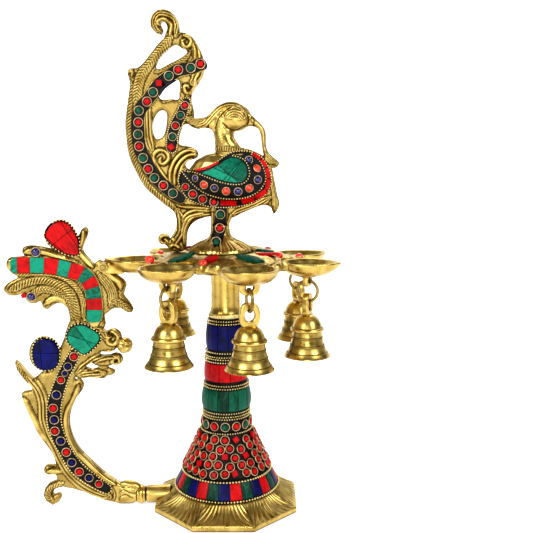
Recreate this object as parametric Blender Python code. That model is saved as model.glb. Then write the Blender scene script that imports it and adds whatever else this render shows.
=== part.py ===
"""Brass standing oil lamp (samai): foot, column, seven-cup tray, bells, handle and peacock.

World frame: metres, +Z up, the column's axis on Z, the foot's flat underside on z = 0.
The peacock lies in the XZ plane. The handle lies in the vertical plane at HANDLE_ANGLE.
Lengths below are in millimetres, and MM turns them into metres where a mesh is made.
"""
import math

import bmesh
import bpy
from mathutils import Matrix, Vector
from mathutils.geometry import delaunay_2d_cdt

MM = 0.001
GAP = 0.3  # clearance between pieces that touch
ON_AXIS = 1e-6  # a turned point nearer the axis than this is on it

# foot
FOOT_RADIUS = 50.0  # corners of the octagon
FOOT_EDGE = 4.0
FOOT_TOP = 13.0
FOOT_TOP_RADIUS = 33.5
FOOT_SLOPE = [(44, 6.2), (37.5, 9.6)]  # (radius, height) between its edge and its top
OCTAGON_SECTOR = 45.0

# column: heights of the seats and their radii
CONE_BOTTOM = FOOT_TOP + GAP
CONE_TOP = 52.0
STEM_TOP = 126.0
TUBE_RADIUS = 9.4
TUBE_TOP = 159.7
INLAY = 1.6  # thickness of the stonework round the column
ROD_RADIUS = 3.0
ROD_HOLE = 3.4
ROD_BOTTOM = 5.0
ROD_TOP = 172.0
NUT_RADIUS = 6.4
NUT_BELOW_ROD = 0.5
CONE_RADIUS = 34.6
STEM_TOP_RADIUS = 10.6
# Neck collar: (radius, height over its seat).
COLLAR = [(10.9, 0.0), (10.9, 2.2), (10.2, 3.0)]
COLLAR_HEIGHT = 3.3

# tray
TRAY_TOP = 165.0
TRAY_THICK = 5.0
TRAY_RADIUS = 50.0
BOSS_RADIUS = 38.0
BOSS_TOP = 168.5
CUP_COUNT = 7
CUP_CIRCLE = 56.0
CUP_RADIUS = 17.0
CUP_WALL = 1.8
CUP_DEPTH = 9.0
SPOUT_REACH = 4.5
SPOUT_SPREAD = 50.0  # degrees either side of the spout's point
CUP_OUTSIDE = [(7, 0), (12, 1.4)]  # (radius, height over the cup's bottom)
CUP_INSIDE = [(11.4, 2.0), (6.4, 0.0)]  # (radius, height over the floor)
FIRST_CUP = 184.5  # degrees: the cup over the handle
CUP_STEP = 360.0 / CUP_COUNT
BELL_CUPS = (1, 2, 3, 4, 6)  # cups that carry a bell; cup 0 meets the handle
LUG_WIDTH = 12.0
LUG_THICK = 3.0
LUG_BOTTOM = 149.6
LUG_HOLE_Z = 154.0
LUG_HOLE = 2.2
LUG_TOP = TRAY_TOP - 7.6
LUG_ARC = 4.0

# bells
WIRE = 0.95
RING_RADIUS = 6.55
RING_PIVOT_Z = LUG_HOLE_Z - LUG_HOLE + WIRE + GAP
RING_CENTRE_Z = RING_PIVOT_Z - RING_RADIUS
BELL_TOP_Z = 131.5
BELL_HEIGHT = 26.0
PIN_RADIUS = 0.7
PIN_HALF = 7.4
PIN_Z = BELL_TOP_Z - 6.4
# Bell: (radius, height from its crown), down its outside and up its inside.
BELL_PROFILE = [(0, 0), (5, -1), (8.2, -5), (9.9, -9), (9.2, -12), (10.5, -18), (14.5, -25),
                (14.8, -BELL_HEIGHT), (13.4, -BELL_HEIGHT), (9, -18), (7.2, -9), (0, -2.4)]
# The loop on a bell's crown: its half outlines, from the bottom up, less their tops.
LOOP_OUTSIDE = [(3.4, -1), (5.4, 1.5), (6.2, 5.5), (5.6, 10), (3.4, 13.2)]
LOOP_HOLE = [(2.2, 3.6), (3.2, 6), (2.7, 8.4)]
LOOP_HOLE_BOTTOM = 2.6
LOOP_BAR = 4.0
LOOP_HALF = 1.8
# Clapper: the eye's radius and half thickness, its neck, and the bob's (radius, height) profile.
EYE_RADIUS = 2.2
EYE_HALF = 0.7
EYE_CLEARANCE = 0.4
EYE_NECK = [(-0.9, -1.5), (0.9, -1.5), (0.9, -4), (-0.9, -4)]
BOB = [(0, -22.2), (2.2, -21.2), (3.2, -18.8), (2.4, -16.2), (0.75, -14.8), (0.75, -3), (0, -3)]

# handle and peacock castings
HANDLE_ANGLE = FIRST_CUP
HANDLE_HALF = 3.5
PEACOCK_HALF = 3.5
PLATE_INLAY = 1.3
SOCKET_RADIUS = 5.6
SOCKET_Z = 6.3
SOCKET_END = 54.0
FERRULE_END = 60.0
STUD_RADIUS = 2.0
STUD_START = 40.0
STUD_END = 70.0
FERRULE = [(5.4, SOCKET_END + GAP), (6.0, 55.6), (6.0, 58.6), (5.4, FERRULE_END)]  # (radius, reach)
HANDLE_TUBE_RADIUS = 5.2
HANDLE_TUBE_END = 71.0
BOLT_RADIUS = 1.4
BOLT_SPOT = (77, 160.5)  # reach and height
BOLT_HEAD_RADIUS = 3.0
BOLT_HEAD = [(0, 2.8), (2.2, 2.4), (BOLT_HEAD_RADIUS, 1.4), (BOLT_HEAD_RADIUS, GAP)]  # radius, rise
BOLT_PAST_EAR = 3.2
BOLT_NUT_TOP = 2.5
EAR = [(62, 158.5), (72, 161.5), (76.5, 163.6), (81, 162.5), (81.5, 159.5), (79, 157), (73, 156), (66, 155.5)]
EAR_THICK = 3.0

SMOOTH = 20  # sides of a turned piece

BRASS = (0.45, 0.29, 0.07, 1.0)
OLD_BRASS = (0.30, 0.19, 0.05, 1.0)
CORAL = (0.72, 0.01, 0.01, 1.0)
MALACHITE = (0.01, 0.26, 0.17, 1.0)
LAPIS = (0.01, 0.01, 0.25, 1.0)
LAC = (0.005, 0.005, 0.005, 1.0)


# ---------------------------------------------------------------- shared helpers

def clear_scene():
    for item in list(bpy.data.objects):
        bpy.data.objects.remove(item, do_unlink=True)


def material(name, colour, roughness, metallic):
    found = bpy.data.materials.get(name)
    if found:
        return found
    made = bpy.data.materials.new(name)
    made.use_nodes = True
    shader = made.node_tree.nodes["Principled BSDF"]
    shader.inputs["Base Color"].default_value = colour
    shader.inputs["Roughness"].default_value = roughness
    shader.inputs["Metallic"].default_value = metallic
    return made


def brass():
    return material("cast_brass", BRASS, 0.35, 1.0)


def dark_brass():
    return material("aged_brass", OLD_BRASS, 0.5, 1.0)


def stone(name, colour):
    return material(name, colour, 0.35, 0.0)


def finish(name, shape, finish_material, place=Matrix.Identity(4)):
    """Turn a bmesh in millimetres into a named object in metres, put at place."""
    bmesh.ops.recalc_face_normals(shape, faces=shape.faces)
    bmesh.ops.scale(shape, vec=(MM, MM, MM), verts=shape.verts)
    mesh = bpy.data.meshes.new(name)
    shape.to_mesh(mesh)
    shape.free()
    mesh.materials.append(finish_material)
    mesh.shade_smooth()
    mesh.set_sharp_from_angle(angle=math.radians(35))
    made = bpy.data.objects.new(name, mesh)
    bpy.context.collection.objects.link(made)
    made.matrix_world = place
    return made


def apply_boolean(target, other, operation):
    """Cut or join with another object, then drop that object."""
    cut = target.modifiers.new("boolean", "BOOLEAN")
    cut.operation = operation
    cut.solver = "EXACT"
    cut.object = other
    bpy.context.view_layer.update()
    mesh = bpy.data.meshes.new_from_object(target.evaluated_get(bpy.context.evaluated_depsgraph_get()))
    target.modifiers.clear()
    target.data = mesh
    bpy.data.objects.remove(other, do_unlink=True)


def join_to(target, other):
    apply_boolean(target, other, "UNION")


def cut_from(target, other):
    apply_boolean(target, other, "DIFFERENCE")


def turned(profile, segments=32, hollow=False, radius_rule=None):
    """Revolve (radius, height) points about Z. A hollow profile closes on itself."""
    shape = bmesh.new()
    rings = []
    for radius, height in profile:
        if radius < 1e-6:
            rings.append([shape.verts.new((0.0, 0.0, height))])
            continue
        ring = []
        for k in range(segments):
            angle = 2 * math.pi * k / segments
            reach = radius_rule(radius, height, angle) if radius_rule else radius
            ring.append(shape.verts.new((reach * math.cos(angle), reach * math.sin(angle), height)))
        rings.append(ring)
    pairs = list(zip(rings, rings[1:]))
    if hollow:
        pairs.append((rings[-1], rings[0]))
    for lower, upper in pairs:
        for k in range(segments):
            after = (k + 1) % segments
            corners = [lower[k % len(lower)], lower[after % len(lower)],
                       upper[after % len(upper)], upper[k % len(upper)]]
            shape.faces.new(list(dict.fromkeys(corners)))
    return shape


def rod(radius, start, end, segments=16):
    """A round bar between two points, as a bmesh."""
    start, end = Vector(start), Vector(end)
    shape = turned([(0, 0), (radius, 0), (radius, (end - start).length), (0, (end - start).length)], segments)
    turn = (end - start).to_track_quat("Z", "Y").to_matrix().to_4x4()
    bmesh.ops.transform(shape, matrix=Matrix.Translation(start) @ turn, verts=shape.verts)
    return shape


def ball(centre, radii, u=16, v=10, tilt=0.0):
    """An ellipsoid with semi-axes radii, tilted about Y by tilt degrees, as a bmesh."""
    shape = bmesh.new()
    bmesh.ops.create_uvsphere(shape, u_segments=u, v_segments=v, radius=1.0)
    place = (Matrix.Translation(centre) @ Matrix.Rotation(math.radians(tilt), 4, "Y")
             @ Matrix.Diagonal((*radii, 1.0)))
    bmesh.ops.transform(shape, matrix=place, verts=shape.verts)
    return shape


def torus(major, minor, major_segments=20, minor_segments=8):
    """A wire ring about Z, as a bmesh."""
    profile = []
    for k in range(minor_segments):
        angle = 2 * math.pi * (k + 0.5) / minor_segments
        profile.append((major + minor * math.cos(angle), minor * math.sin(angle)))
    return turned(profile, major_segments, hollow=True)


def circle(centre, radius, segments=16):
    return [(centre[0] + radius * math.cos(2 * math.pi * k / segments),
             centre[1] + radius * math.sin(2 * math.pi * k / segments)) for k in range(segments)]


def spline(points, closed, steps=3):
    """Catmull-Rom points through the given ones."""
    count = len(points)
    spans = count if closed else count - 1
    curve = []
    for k in range(spans):
        if closed:
            a, b, c, d = (points[(k + n) % count] for n in (-1, 0, 1, 2))
        else:
            a, b, c, d = (points[min(max(k + n, 0), count - 1)] for n in (-1, 0, 1, 2))
        for step in range(steps):
            t = step / steps
            curve.append(tuple(
                0.5 * (2 * q + (r - p) * t + (2 * p - 5 * q + 4 * r - s) * t * t
                       + (3 * q - p - 3 * r + s) * t ** 3)
                for p, q, r, s in zip(a, b, c, d)))
    if not closed:
        curve.append(tuple(points[-1]))
    return curve


def stroke(points, steps=3):
    """Outlines that fill a line through (x, z, half width) points: one per step, and round ends."""
    curve = spline(points, closed=False, steps=steps)
    pieces = []
    sides = []
    for k, (x, z, half) in enumerate(curve):
        before, after = curve[max(k - 1, 0)], curve[min(k + 1, len(curve) - 1)]
        along = Vector((after[0] - before[0], after[1] - before[1])).normalized()
        sides.append(((x - along.y * half, z + along.x * half), (x + along.y * half, z - along.x * half)))
    for (a, b), (c, d) in zip(sides, sides[1:]):
        pieces.append([a, b, d, c])
    for x, z, half in (curve[0], curve[-1]):
        pieces.append(circle((x, z), half * 0.999, 12))
    return pieces


def plate(solids, holes, low, high):
    """A flat casting in the XZ plane: the union of closed outlines less the holes, from y low to high."""
    points, faces = [], []
    for outline in solids + holes:
        turning = sum(a[0] * b[1] - b[0] * a[1] for a, b in zip(outline, outline[1:] + outline[:1]))
        outline = outline if turning > 0 else outline[::-1]
        faces.append(list(range(len(points), len(points) + len(outline))))
        points.extend(Vector(p) for p in outline)
    spots, _, cells, _, _, parents = delaunay_2d_cdt(points, [], faces, 1, 0.01)
    shape = bmesh.new()
    verts = [shape.verts.new((p.x, low, p.y)) for p in spots]
    for cell, owners in zip(cells, parents):
        if owners and max(owners) < len(solids):
            shape.faces.new([verts[k] for k in cell])
    bmesh.ops.delete(shape, geom=[v for v in shape.verts if not v.link_faces], context="VERTS")
    bmesh.ops.dissolve_limit(shape, angle_limit=math.radians(4), use_dissolve_boundaries=False,
                             verts=shape.verts, edges=shape.edges)
    bmesh.ops.triangulate(shape, faces=shape.faces)
    grown = bmesh.ops.extrude_face_region(shape, geom=shape.faces[:])
    moved = [v for v in grown["geom"] if isinstance(v, bmesh.types.BMVert)]
    bmesh.ops.translate(shape, vec=(0.0, high - low, 0.0), verts=moved)
    return shape


def hex_nut(radius, hole, low, high):
    """A six-sided nut about Z, as a bmesh."""
    shape = plate([circle((0, 0), radius, 6)], [circle((0, 0), hole, 12)], low, high)
    bmesh.ops.rotate(shape, matrix=Matrix.Rotation(math.pi / 2, 3, "X"), verts=shape.verts)
    return shape


def about_z(degrees, offset=(0.0, 0.0, 0.0)):
    """Turn about the column, with a local offset in millimetres."""
    return Matrix.Rotation(math.radians(degrees), 4, "Z") @ Matrix.Translation(Vector(offset) * MM)


# ---------------------------------------------------------------- foot and column

def octagon(radius, height, angle):
    """Round at the foot's top and eight-sided at its edge."""
    sector = math.radians(OCTAGON_SECTOR)
    flat = radius * math.cos(sector / 2) / math.cos((angle % sector) - sector / 2)
    round_share = min(max((height - FOOT_EDGE) / (FOOT_TOP - FOOT_EDGE), 0.0), 1.0)
    return flat * (1 - round_share) + radius * round_share


def turned_octagon(radius, height, angle):
    return octagon(radius, height, angle + math.radians(OCTAGON_SECTOR / 2))


def make_foot():
    profile = [(0, 0), (FOOT_RADIUS - 1, 0), (FOOT_RADIUS, 1), (FOOT_RADIUS, FOOT_EDGE), *FOOT_SLOPE,
               (FOOT_TOP_RADIUS, FOOT_TOP), (0, FOOT_TOP)]
    foot = finish("foot", turned(profile, 32, radius_rule=turned_octagon), brass())
    tilt = about_z(HANDLE_ANGLE)
    join_to(foot, finish("socket", rod(SOCKET_RADIUS, (36, 0, SOCKET_Z), (SOCKET_END, 0, SOCKET_Z), 16),
                         brass(), tilt))
    stud_hole = rod(STUD_RADIUS + GAP, (STUD_START, 0, SOCKET_Z), (STUD_END, 0, SOCKET_Z), 12)
    cut_from(foot, finish("stud_hole", stud_hole, brass(), tilt))
    rod_hole = rod(ROD_HOLE, (0, 0, ROD_BOTTOM - GAP), (0, 0, FOOT_TOP + 5), 16)
    cut_from(foot, finish("rod_hole", rod_hole, brass()))


# Each zone of stonework: name, heights and outer radii at its foot and its top, and its finish.
ZONES = (
    ("tricolour_ring", 14.6, 24.0, 34.0, 29.4, "lapis", LAPIS),
    ("red_stone_sleeve", 25.8, 51.0, 28.9, 17.0, "black_lac", LAC),
    ("bezel_stone_row", 53.0, 60.0, 15.9, 15.4, "black_lac", LAC),
    ("malachite_band", 66.5, 80.0, 15.8, 15.4, "malachite", MALACHITE),
    ("coral_band", 85.5, 97.0, 14.4, 14.0, "coral", CORAL),
    ("lapis_band", 106.0, 122.0, 12.9, 12.6, "lapis", LAPIS),
)
# Brass bead strings, one above each zone: height and outer radius.
BEAD_RINGS = ((24.9, 29.8), (52.0, 17.0), (63.3, 15.9), (82.7, 15.3), (101.5, 14.0), (124.0, 12.2))
BEAD_HALF = 0.7
SHOULDER = 1.2  # height of the plain brass above each zone that its bead string sits on


def make_column():
    profile = [(ROD_HOLE, CONE_BOTTOM), (CONE_RADIUS, CONE_BOTTOM), (CONE_RADIUS, ZONES[0][1] - GAP)]
    for (_, low, high, wide, narrow, _, _), (_, radius) in zip(ZONES, BEAD_RINGS):
        shoulder = radius - 2 * BEAD_HALF - GAP
        profile += [(wide - INLAY - GAP, low - GAP), (narrow - INLAY - GAP, high + GAP),
                    (shoulder, high + GAP), (shoulder, high + GAP + SHOULDER)]
    profile += [(STEM_TOP_RADIUS, STEM_TOP), (ROD_HOLE, STEM_TOP)]
    finish("column", turned(profile, SMOOTH, hollow=True), brass())


def make_stonework():
    for name, low, high, wide, narrow, colour_name, colour in ZONES:
        profile = [(wide - INLAY, low), (wide, low), (narrow, high), (narrow - INLAY, high)]
        finish(name, turned(profile, SMOOTH, hollow=True), stone(colour_name, colour))
    for count, (ring_z, radius) in enumerate(BEAD_RINGS, 1):
        place = Matrix.Translation((0, 0, ring_z * MM))
        finish(f"bead_string_{count}", torus(radius - BEAD_HALF, BEAD_HALF, SMOOTH, 4), brass(), place)


def make_neck():
    low = STEM_TOP + GAP
    tube_low = low + COLLAR_HEIGHT
    tube = [(ROD_HOLE, tube_low), (TUBE_RADIUS, tube_low), (TUBE_RADIUS, TUBE_TOP), (ROD_HOLE, TUBE_TOP)]
    finish("neck_tube", turned(tube, SMOOTH, hollow=True), brass())
    collar = [(ROD_HOLE, low), *((radius, low + height) for radius, height in COLLAR),
              (ROD_HOLE, low + COLLAR[-1][1])]
    finish("neck_collar", turned(collar, SMOOTH, hollow=True), brass())


def make_tie_rod():
    finish("tie_rod", rod(ROD_RADIUS, (0, 0, ROD_BOTTOM), (0, 0, ROD_TOP), 16), dark_brass())
    nut = hex_nut(NUT_RADIUS, ROD_RADIUS + 1.5 * GAP, BOSS_TOP + GAP, ROD_TOP - NUT_BELOW_ROD)
    finish("tray_nut", nut, dark_brass())


# ---------------------------------------------------------------- tray and cups

def cup_angle(index):
    return FIRST_CUP + CUP_STEP * index


def make_tray_plate():
    profile = [(ROD_HOLE, TRAY_TOP - TRAY_THICK), (TRAY_RADIUS - 2, TRAY_TOP - TRAY_THICK),
               (TRAY_RADIUS, TRAY_TOP - TRAY_THICK + 1.5), (TRAY_RADIUS, TRAY_TOP),
               (BOSS_RADIUS + 2, TRAY_TOP + 0.8), (BOSS_RADIUS - 4, BOSS_TOP), (ROD_HOLE, BOSS_TOP)]
    tray = finish("tray_plate", turned(profile, 35, hollow=True), brass())
    for index in range(CUP_COUNT):
        cutter = turned([(0, 150), (CUP_RADIUS + GAP, 150), (CUP_RADIUS + GAP, 180), (0, 180)], 20)
        cut_from(tray, finish("cup_seat", cutter, brass(), about_z(cup_angle(index), (CUP_CIRCLE, 0, 0))))


def spout(radius, height, angle):
    """A cup's outline runs out to a pointed wick spout at its rim."""
    rim_share = min(max(1 + height / (CUP_DEPTH - 1), 0.0), 1.0)
    away = abs(math.remainder(angle, 2 * math.pi))
    point = max(0.0, 1 - away / math.radians(SPOUT_SPREAD)) ** 1.5
    return radius + SPOUT_REACH * rim_share * point


def make_cups():
    bottom, floor = -CUP_DEPTH, CUP_WALL - CUP_DEPTH
    profile = [(0, bottom), *((radius, bottom + rise) for radius, rise in CUP_OUTSIDE),
               (CUP_RADIUS, -2.4), (CUP_RADIUS, 0), (CUP_RADIUS - CUP_WALL, 0),
               *((radius, floor + rise) for radius, rise in CUP_INSIDE), (0, floor)]
    for index in range(CUP_COUNT):
        place = about_z(cup_angle(index), (CUP_CIRCLE, 0, TRAY_TOP))
        cup = finish(f"cup_{index + 1}", turned(profile, 20, radius_rule=spout), brass(), place)
        if index in BELL_CUPS:
            half = LUG_WIDTH / 2
            arc_z = LUG_BOTTOM + LUG_ARC
            arc = [(half * math.cos(a), arc_z + LUG_ARC * math.sin(a))
                   for a in (math.radians(210 + 30 * k) for k in range(5))]
            outline = [(-half, LUG_TOP), (-half, arc_z), *arc, (half, arc_z), (half, LUG_TOP)]
            hole = circle((0, LUG_HOLE_Z), LUG_HOLE, 12)
            lug = plate([outline], [hole], -LUG_THICK / 2, LUG_THICK / 2)
            across = about_z(cup_angle(index), (CUP_CIRCLE, 0, 0)) @ Matrix.Rotation(math.pi / 2, 4, "Z")
            join_to(cup, finish("lug", lug, brass(), across))
        if index == 0:
            hole = circle(BOLT_SPOT, BOLT_RADIUS + GAP, 10)
            ear = plate([EAR], [hole], HANDLE_HALF + GAP, HANDLE_HALF + GAP + EAR_THICK)
            join_to(cup, finish("handle_ear", ear, brass(), about_z(HANDLE_ANGLE)))


# ---------------------------------------------------------------- bells

def make_bells():
    arch_under = RING_CENTRE_Z - RING_RADIUS + WIRE + GAP - BELL_TOP_Z
    loop_outer = ([(-x, z) for x, z in LOOP_OUTSIDE] + [(0, arch_under + LOOP_BAR)] + LOOP_OUTSIDE[::-1])
    hole_side = LOOP_HOLE + [(1.5, arch_under - 0.4)]
    loop_hole = ([(0, LOOP_HOLE_BOTTOM)] + hole_side + [(0, arch_under)]
                 + [(-x, z) for x, z in hole_side[::-1]])
    for number, index in enumerate(BELL_CUPS, 1):
        angle = cup_angle(index)
        pivot = about_z(angle, (CUP_CIRCLE, 0, RING_PIVOT_Z))
        ring_shape = torus(RING_RADIUS, WIRE, 18, 6)
        bmesh.ops.transform(ring_shape, matrix=Matrix.Translation((0, 0, -RING_RADIUS))
                            @ Matrix.Rotation(math.pi / 2, 4, "X"), verts=ring_shape.verts)
        finish(f"bell_ring_{number}", ring_shape, dark_brass(), pivot)

        hang = about_z(angle, (CUP_CIRCLE, 0, RING_CENTRE_Z))
        drop = BELL_TOP_Z - RING_CENTRE_Z
        bell_shape = turned(BELL_PROFILE, 14)
        bmesh.ops.translate(bell_shape, vec=(0, 0, drop), verts=bell_shape.verts)
        bell = finish(f"bell_{number}", bell_shape, brass(), hang)
        loop = plate([loop_outer], [loop_hole], -LOOP_HALF, LOOP_HALF)
        bmesh.ops.transform(loop, matrix=Matrix.Translation((0, 0, drop))
                            @ Matrix.Rotation(math.pi / 2, 4, "Z"), verts=loop.verts)
        join_to(bell, finish("loop", loop, brass(), hang))
        pin_height = PIN_Z - RING_CENTRE_Z
        pin = rod(PIN_RADIUS, (-PIN_HALF, 0, pin_height), (PIN_HALF, 0, pin_height), 8)
        join_to(bell, finish("pin", pin, brass(), hang))

        swing = about_z(angle, (CUP_CIRCLE, 0, PIN_Z))
        eye = plate([circle((0, 0), EYE_RADIUS, 10), EYE_NECK],
                    [circle((0, 0), PIN_RADIUS + EYE_CLEARANCE, 8)], -EYE_HALF, EYE_HALF)
        bmesh.ops.rotate(eye, matrix=Matrix.Rotation(math.pi / 2, 3, "Z"), verts=eye.verts)
        clapper = finish(f"clapper_{number}", eye, dark_brass(), swing)
        join_to(clapper, finish("bob", turned(BOB, 8), dark_brass(), swing))


# ---------------------------------------------------------------- handle, in its own plane (reach, height)

TEARDROP = [(104, 189), (110, 187.5), (113.5, 181), (112.5, 175), (107, 170.5), (98.5, 166),
            (93.5, 163.5), (93, 171), (94, 180.5), (98, 187)]
HORN = [(93.5, 176.5), (91, 183.5), (88, 185.5), (86.5, 182.5), (88.5, 176.5), (90.5, 171), (87.5, 166.5),
        (83.5, 161.5), (80.5, 156), (84.5, 156), (90.5, 161), (94, 165)]
TOP_LOBE = [(128, 169.5), (127, 173), (122.5, 174), (117.5, 173.5), (111, 172), (104, 169), (96.5, 164.5),
            (92.5, 161), (96.5, 158), (108, 161), (119.5, 166), (124.5, 166.5)]
LOBES = [(137.5, 164.5), (138, 160), (134, 156), (131, 154), (135.5, 151.5), (139, 149), (140.5, 145.5),
         (137.5, 142.5), (133, 142), (128.5, 143), (127, 139.5), (124.5, 137), (120.5, 137), (118, 138.5),
         (116.5, 134), (113.5, 133), (111, 135), (106, 137), (102.5, 135), (100.5, 131.5), (100, 125.5),
         (101, 118), (79.5, 118), (78, 128), (78.5, 136), (78.5, 146), (80, 153.5), (84.5, 159.5),
         (93.5, 163), (108, 167), (119.5, 167.5), (130, 167), (135.5, 166.5)]
BRACKET = [(83, 162.5), (77, 163), (74, 160.5), (70, 155.3), (65, 151.5), (63.5, 147.5), (65.5, 142),
           (62.5, 138), (59.5, 132.5), (61, 130), (64, 130.5), (68, 133), (73, 132.5), (78, 129), (84, 134)]
HEART = [(103.5, 115), (102, 120.5), (96.5, 122.5), (88.5, 122), (82.5, 118), (81, 113.5), (84.5, 108.5),
         (92, 103.5), (98.5, 107), (103, 109.5)]
OVAL_CENTRE = (117, 103.8)
OVAL_HALF = (9.6, 11.4)
STEM = [(104, 114), (107.5, 106), (110, 97.5), (113.5, 92), (119.5, 91.5), (124.5, 87.5), (130.5, 94.5),
        (135, 100), (135.5, 97), (132.5, 90.5), (128, 85), (125, 80), (131, 79), (132.5, 76), (130, 69.5),
        (127, 61.5), (124.5, 53.5), (119.5, 44.5), (114.5, 37), (112.5, 30.5), (112.5, 24), (112, 19),
        (109, 14), (102, 12), (94.5, 9.5), (86.5, 5.5), (79, 2.6), (71, 0.9), (66, 0.8), (61.5, 1.6),
        (61.5, 11), (66, 12.3), (71, 14.5), (79, 20), (86.5, 27.5), (93.5, 35), (98.5, 42.5),
        (101.5, 51), (102.5, 59), (101, 66.5), (97.5, 74), (93.5, 79.5), (92.5, 83.5), (95, 86.5),
        (98.5, 85.5), (97, 89), (91.5, 95), (84.5, 99.5), (79, 109.5), (84, 119), (101, 119)]
LEAF = [(84, 120), (76, 117.5), (72, 115.5), (69, 111), (72, 105.5), (78, 104.5), (86, 107)]
CUT_LEAF = [(98.5, 94), (90.5, 94), (83, 91.5), (77, 94), (78, 88), (81, 86.5), (88.5, 88), (96.5, 87)]
CURL = [(88, 101, 2.5), (79, 99.7, 2.2), (72.5, 100.5, 2), (69, 98, 1.6)]
SCROLL = [(109, 16, 2.5), (115.5, 14.2, 2.6), (118, 8.5, 3.2), (115, 4.3, 3.3), (111.5, 6.8, 2.2)]
LOWER_NUB = [(109, 25, 3), (113, 25.4, 3), (117, 25.5, 3.4)]
SHELL_BUD = (65.5, 108.5)
TAPE = [(133.5, 161.3, 4.2), (127, 161.5, 4.9), (117.5, 162, 5), (108, 161.2, 5), (99.5, 159.3, 5),
        (93.5, 156.5, 5), (88.5, 152, 4.8), (85.7, 146.5, 4.7), (84.7, 140.5, 4.6), (84.5, 134.5, 4.6),
        (84.5, 128, 4.4)]
STRIP = [(99.5, 101, 3.2), (103, 95.5, 3.4), (106, 89, 3.2), (110, 77.5, 3.9), (112.3, 67.5, 4),
         (112, 57, 4), (109.5, 48, 4), (105.5, 39.5, 4), (101, 30, 4), (95.5, 22.5, 3.8), (87, 16.8, 3.4),
         (79.5, 12, 2.4)]


def ellipse(centre, half, segments=20):
    return [(centre[0] + half[0] * math.cos(2 * math.pi * k / segments),
             centre[1] + half[1] * math.sin(2 * math.pi * k / segments)) for k in range(segments)]


def shrunk(outline, share):
    """The same outline drawn in towards its middle."""
    middle = [sum(p[n] for p in outline) / len(outline) for n in (0, 1)]
    return [tuple(m + (value - m) * share for m, value in zip(middle, p)) for p in outline]


def make_handle():
    here = about_z(HANDLE_ANGLE)
    solids = [spline(outline, True, 2) for outline in
              (TEARDROP, HORN, TOP_LOBE, LOBES, BRACKET, HEART, LEAF, CUT_LEAF, STEM)]
    solids += [ellipse(OVAL_CENTRE, OVAL_HALF), circle(SHELL_BUD, 5.0, 12)]
    for line in (CURL, SCROLL, LOWER_NUB):
        solids += stroke(line, 2)
    bolt_hole = circle(BOLT_SPOT, BOLT_RADIUS + GAP, 10)
    casting = plate(solids, [bolt_hole], -HANDLE_HALF, HANDLE_HALF)
    handle = finish("handle", casting, brass(), here)
    tube = rod(HANDLE_TUBE_RADIUS, (FERRULE_END + GAP, 0, SOCKET_Z), (HANDLE_TUBE_END, 0, SOCKET_Z), 14)
    join_to(handle, finish("handle_tube", tube, brass(), here))
    stud_hole = rod(STUD_RADIUS + GAP, (STUD_START + 10, 0, SOCKET_Z), (STUD_END, 0, SOCKET_Z), 12)
    cut_from(handle, finish("stud_hole", stud_hole, brass(), here))

    stud = rod(STUD_RADIUS, (STUD_START + GAP, 0, SOCKET_Z), (STUD_END - GAP, 0, SOCKET_Z), 12)
    finish("handle_stud", stud, dark_brass(), here)
    ferrule = turned([(STUD_RADIUS + GAP, SOCKET_END + GAP), *FERRULE, (STUD_RADIUS + GAP, FERRULE_END)],
                     14, hollow=True)
    lie = here @ Matrix.Translation((0, 0, SOCKET_Z * MM)) @ Matrix.Rotation(math.pi / 2, 4, "Y")
    finish("handle_ferrule", ferrule, brass(), lie)

    bolt_back = HANDLE_HALF + GAP + EAR_THICK
    reach, height = BOLT_SPOT
    spot = Matrix.Translation((reach * MM, 0, height * MM))
    across = here @ spot @ Matrix.Rotation(-math.pi / 2, 4, "X")
    head = [(radius, -HANDLE_HALF - rise) for radius, rise in BOLT_HEAD]
    shank_end = bolt_back + BOLT_PAST_EAR
    bolt = turned([*head, (BOLT_RADIUS, -HANDLE_HALF - GAP), (BOLT_RADIUS, shank_end), (0, shank_end)], 14)
    finish("handle_bolt", bolt, dark_brass(), across)
    nut = hex_nut(BOLT_HEAD_RADIUS, BOLT_RADIUS + GAP, bolt_back + GAP, bolt_back + BOLT_NUT_TOP)
    finish("handle_nut", nut, dark_brass(), across)


def make_handle_stonework():
    here = about_z(HANDLE_ANGLE)
    face = HANDLE_HALF + GAP
    inlays = (
        ("handle_coral_teardrop", [spline(shrunk(TEARDROP, 0.88), True, 2)], "coral", CORAL),
        ("handle_striped_band", stroke(TAPE, 2), "malachite", MALACHITE),
        ("handle_malachite_heart", [spline(shrunk(HEART, 0.9), True, 2)], "malachite", MALACHITE),
        ("handle_lapis_oval", [ellipse(OVAL_CENTRE, tuple(h - 1.4 for h in OVAL_HALF))], "lapis", LAPIS),
        ("handle_stone_strip", stroke(STRIP, 2), "black_lac", LAC),
    )
    for name, outlines, colour_name, colour in inlays:
        finish(name, plate(outlines, [], face, face + PLATE_INLAY), stone(colour_name, colour), here)


# ---------------------------------------------------------------- peacock, in the XZ plane

TAIL = [(-38, 301.5), (-33, 303.5), (-28, 305.5), (-23.5, 305.5), (-19, 302.5), (-15.5, 297),
        (-12.7, 290), (-12, 284.5), (-13.5, 278.5), (-17, 273.5), (-20, 269), (-20.5, 264), (-19, 257.5),
        (-20, 251), (-25.5, 249.5), (-29, 245.5), (-30, 240), (-28, 236.8), (-22, 236), (-18, 234),
        (-16.5, 231), (-18.5, 228.3), (-23, 227), (-25, 223.5), (-20, 219), (-10, 205), (-8.5, 193),
        (-12, 191.3), (-17.5, 189.5), (-22.5, 185.5), (-24.5, 180), (-24.8, 173.5), (-27, 169.3),
        (-34, 169.3), (-38, 173.5), (-34.5, 178.5), (-31.5, 184), (-31, 190), (-33, 195), (-39, 199.5),
        (-45.5, 205), (-51, 210.5), (-56.5, 220), (-60.5, 230), (-62, 240), (-62.3, 252), (-60.5, 264),
        (-58.5, 274), (-60, 280), (-58.5, 284), (-54, 284.3), (-49.5, 288), (-44, 295)]
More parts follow.
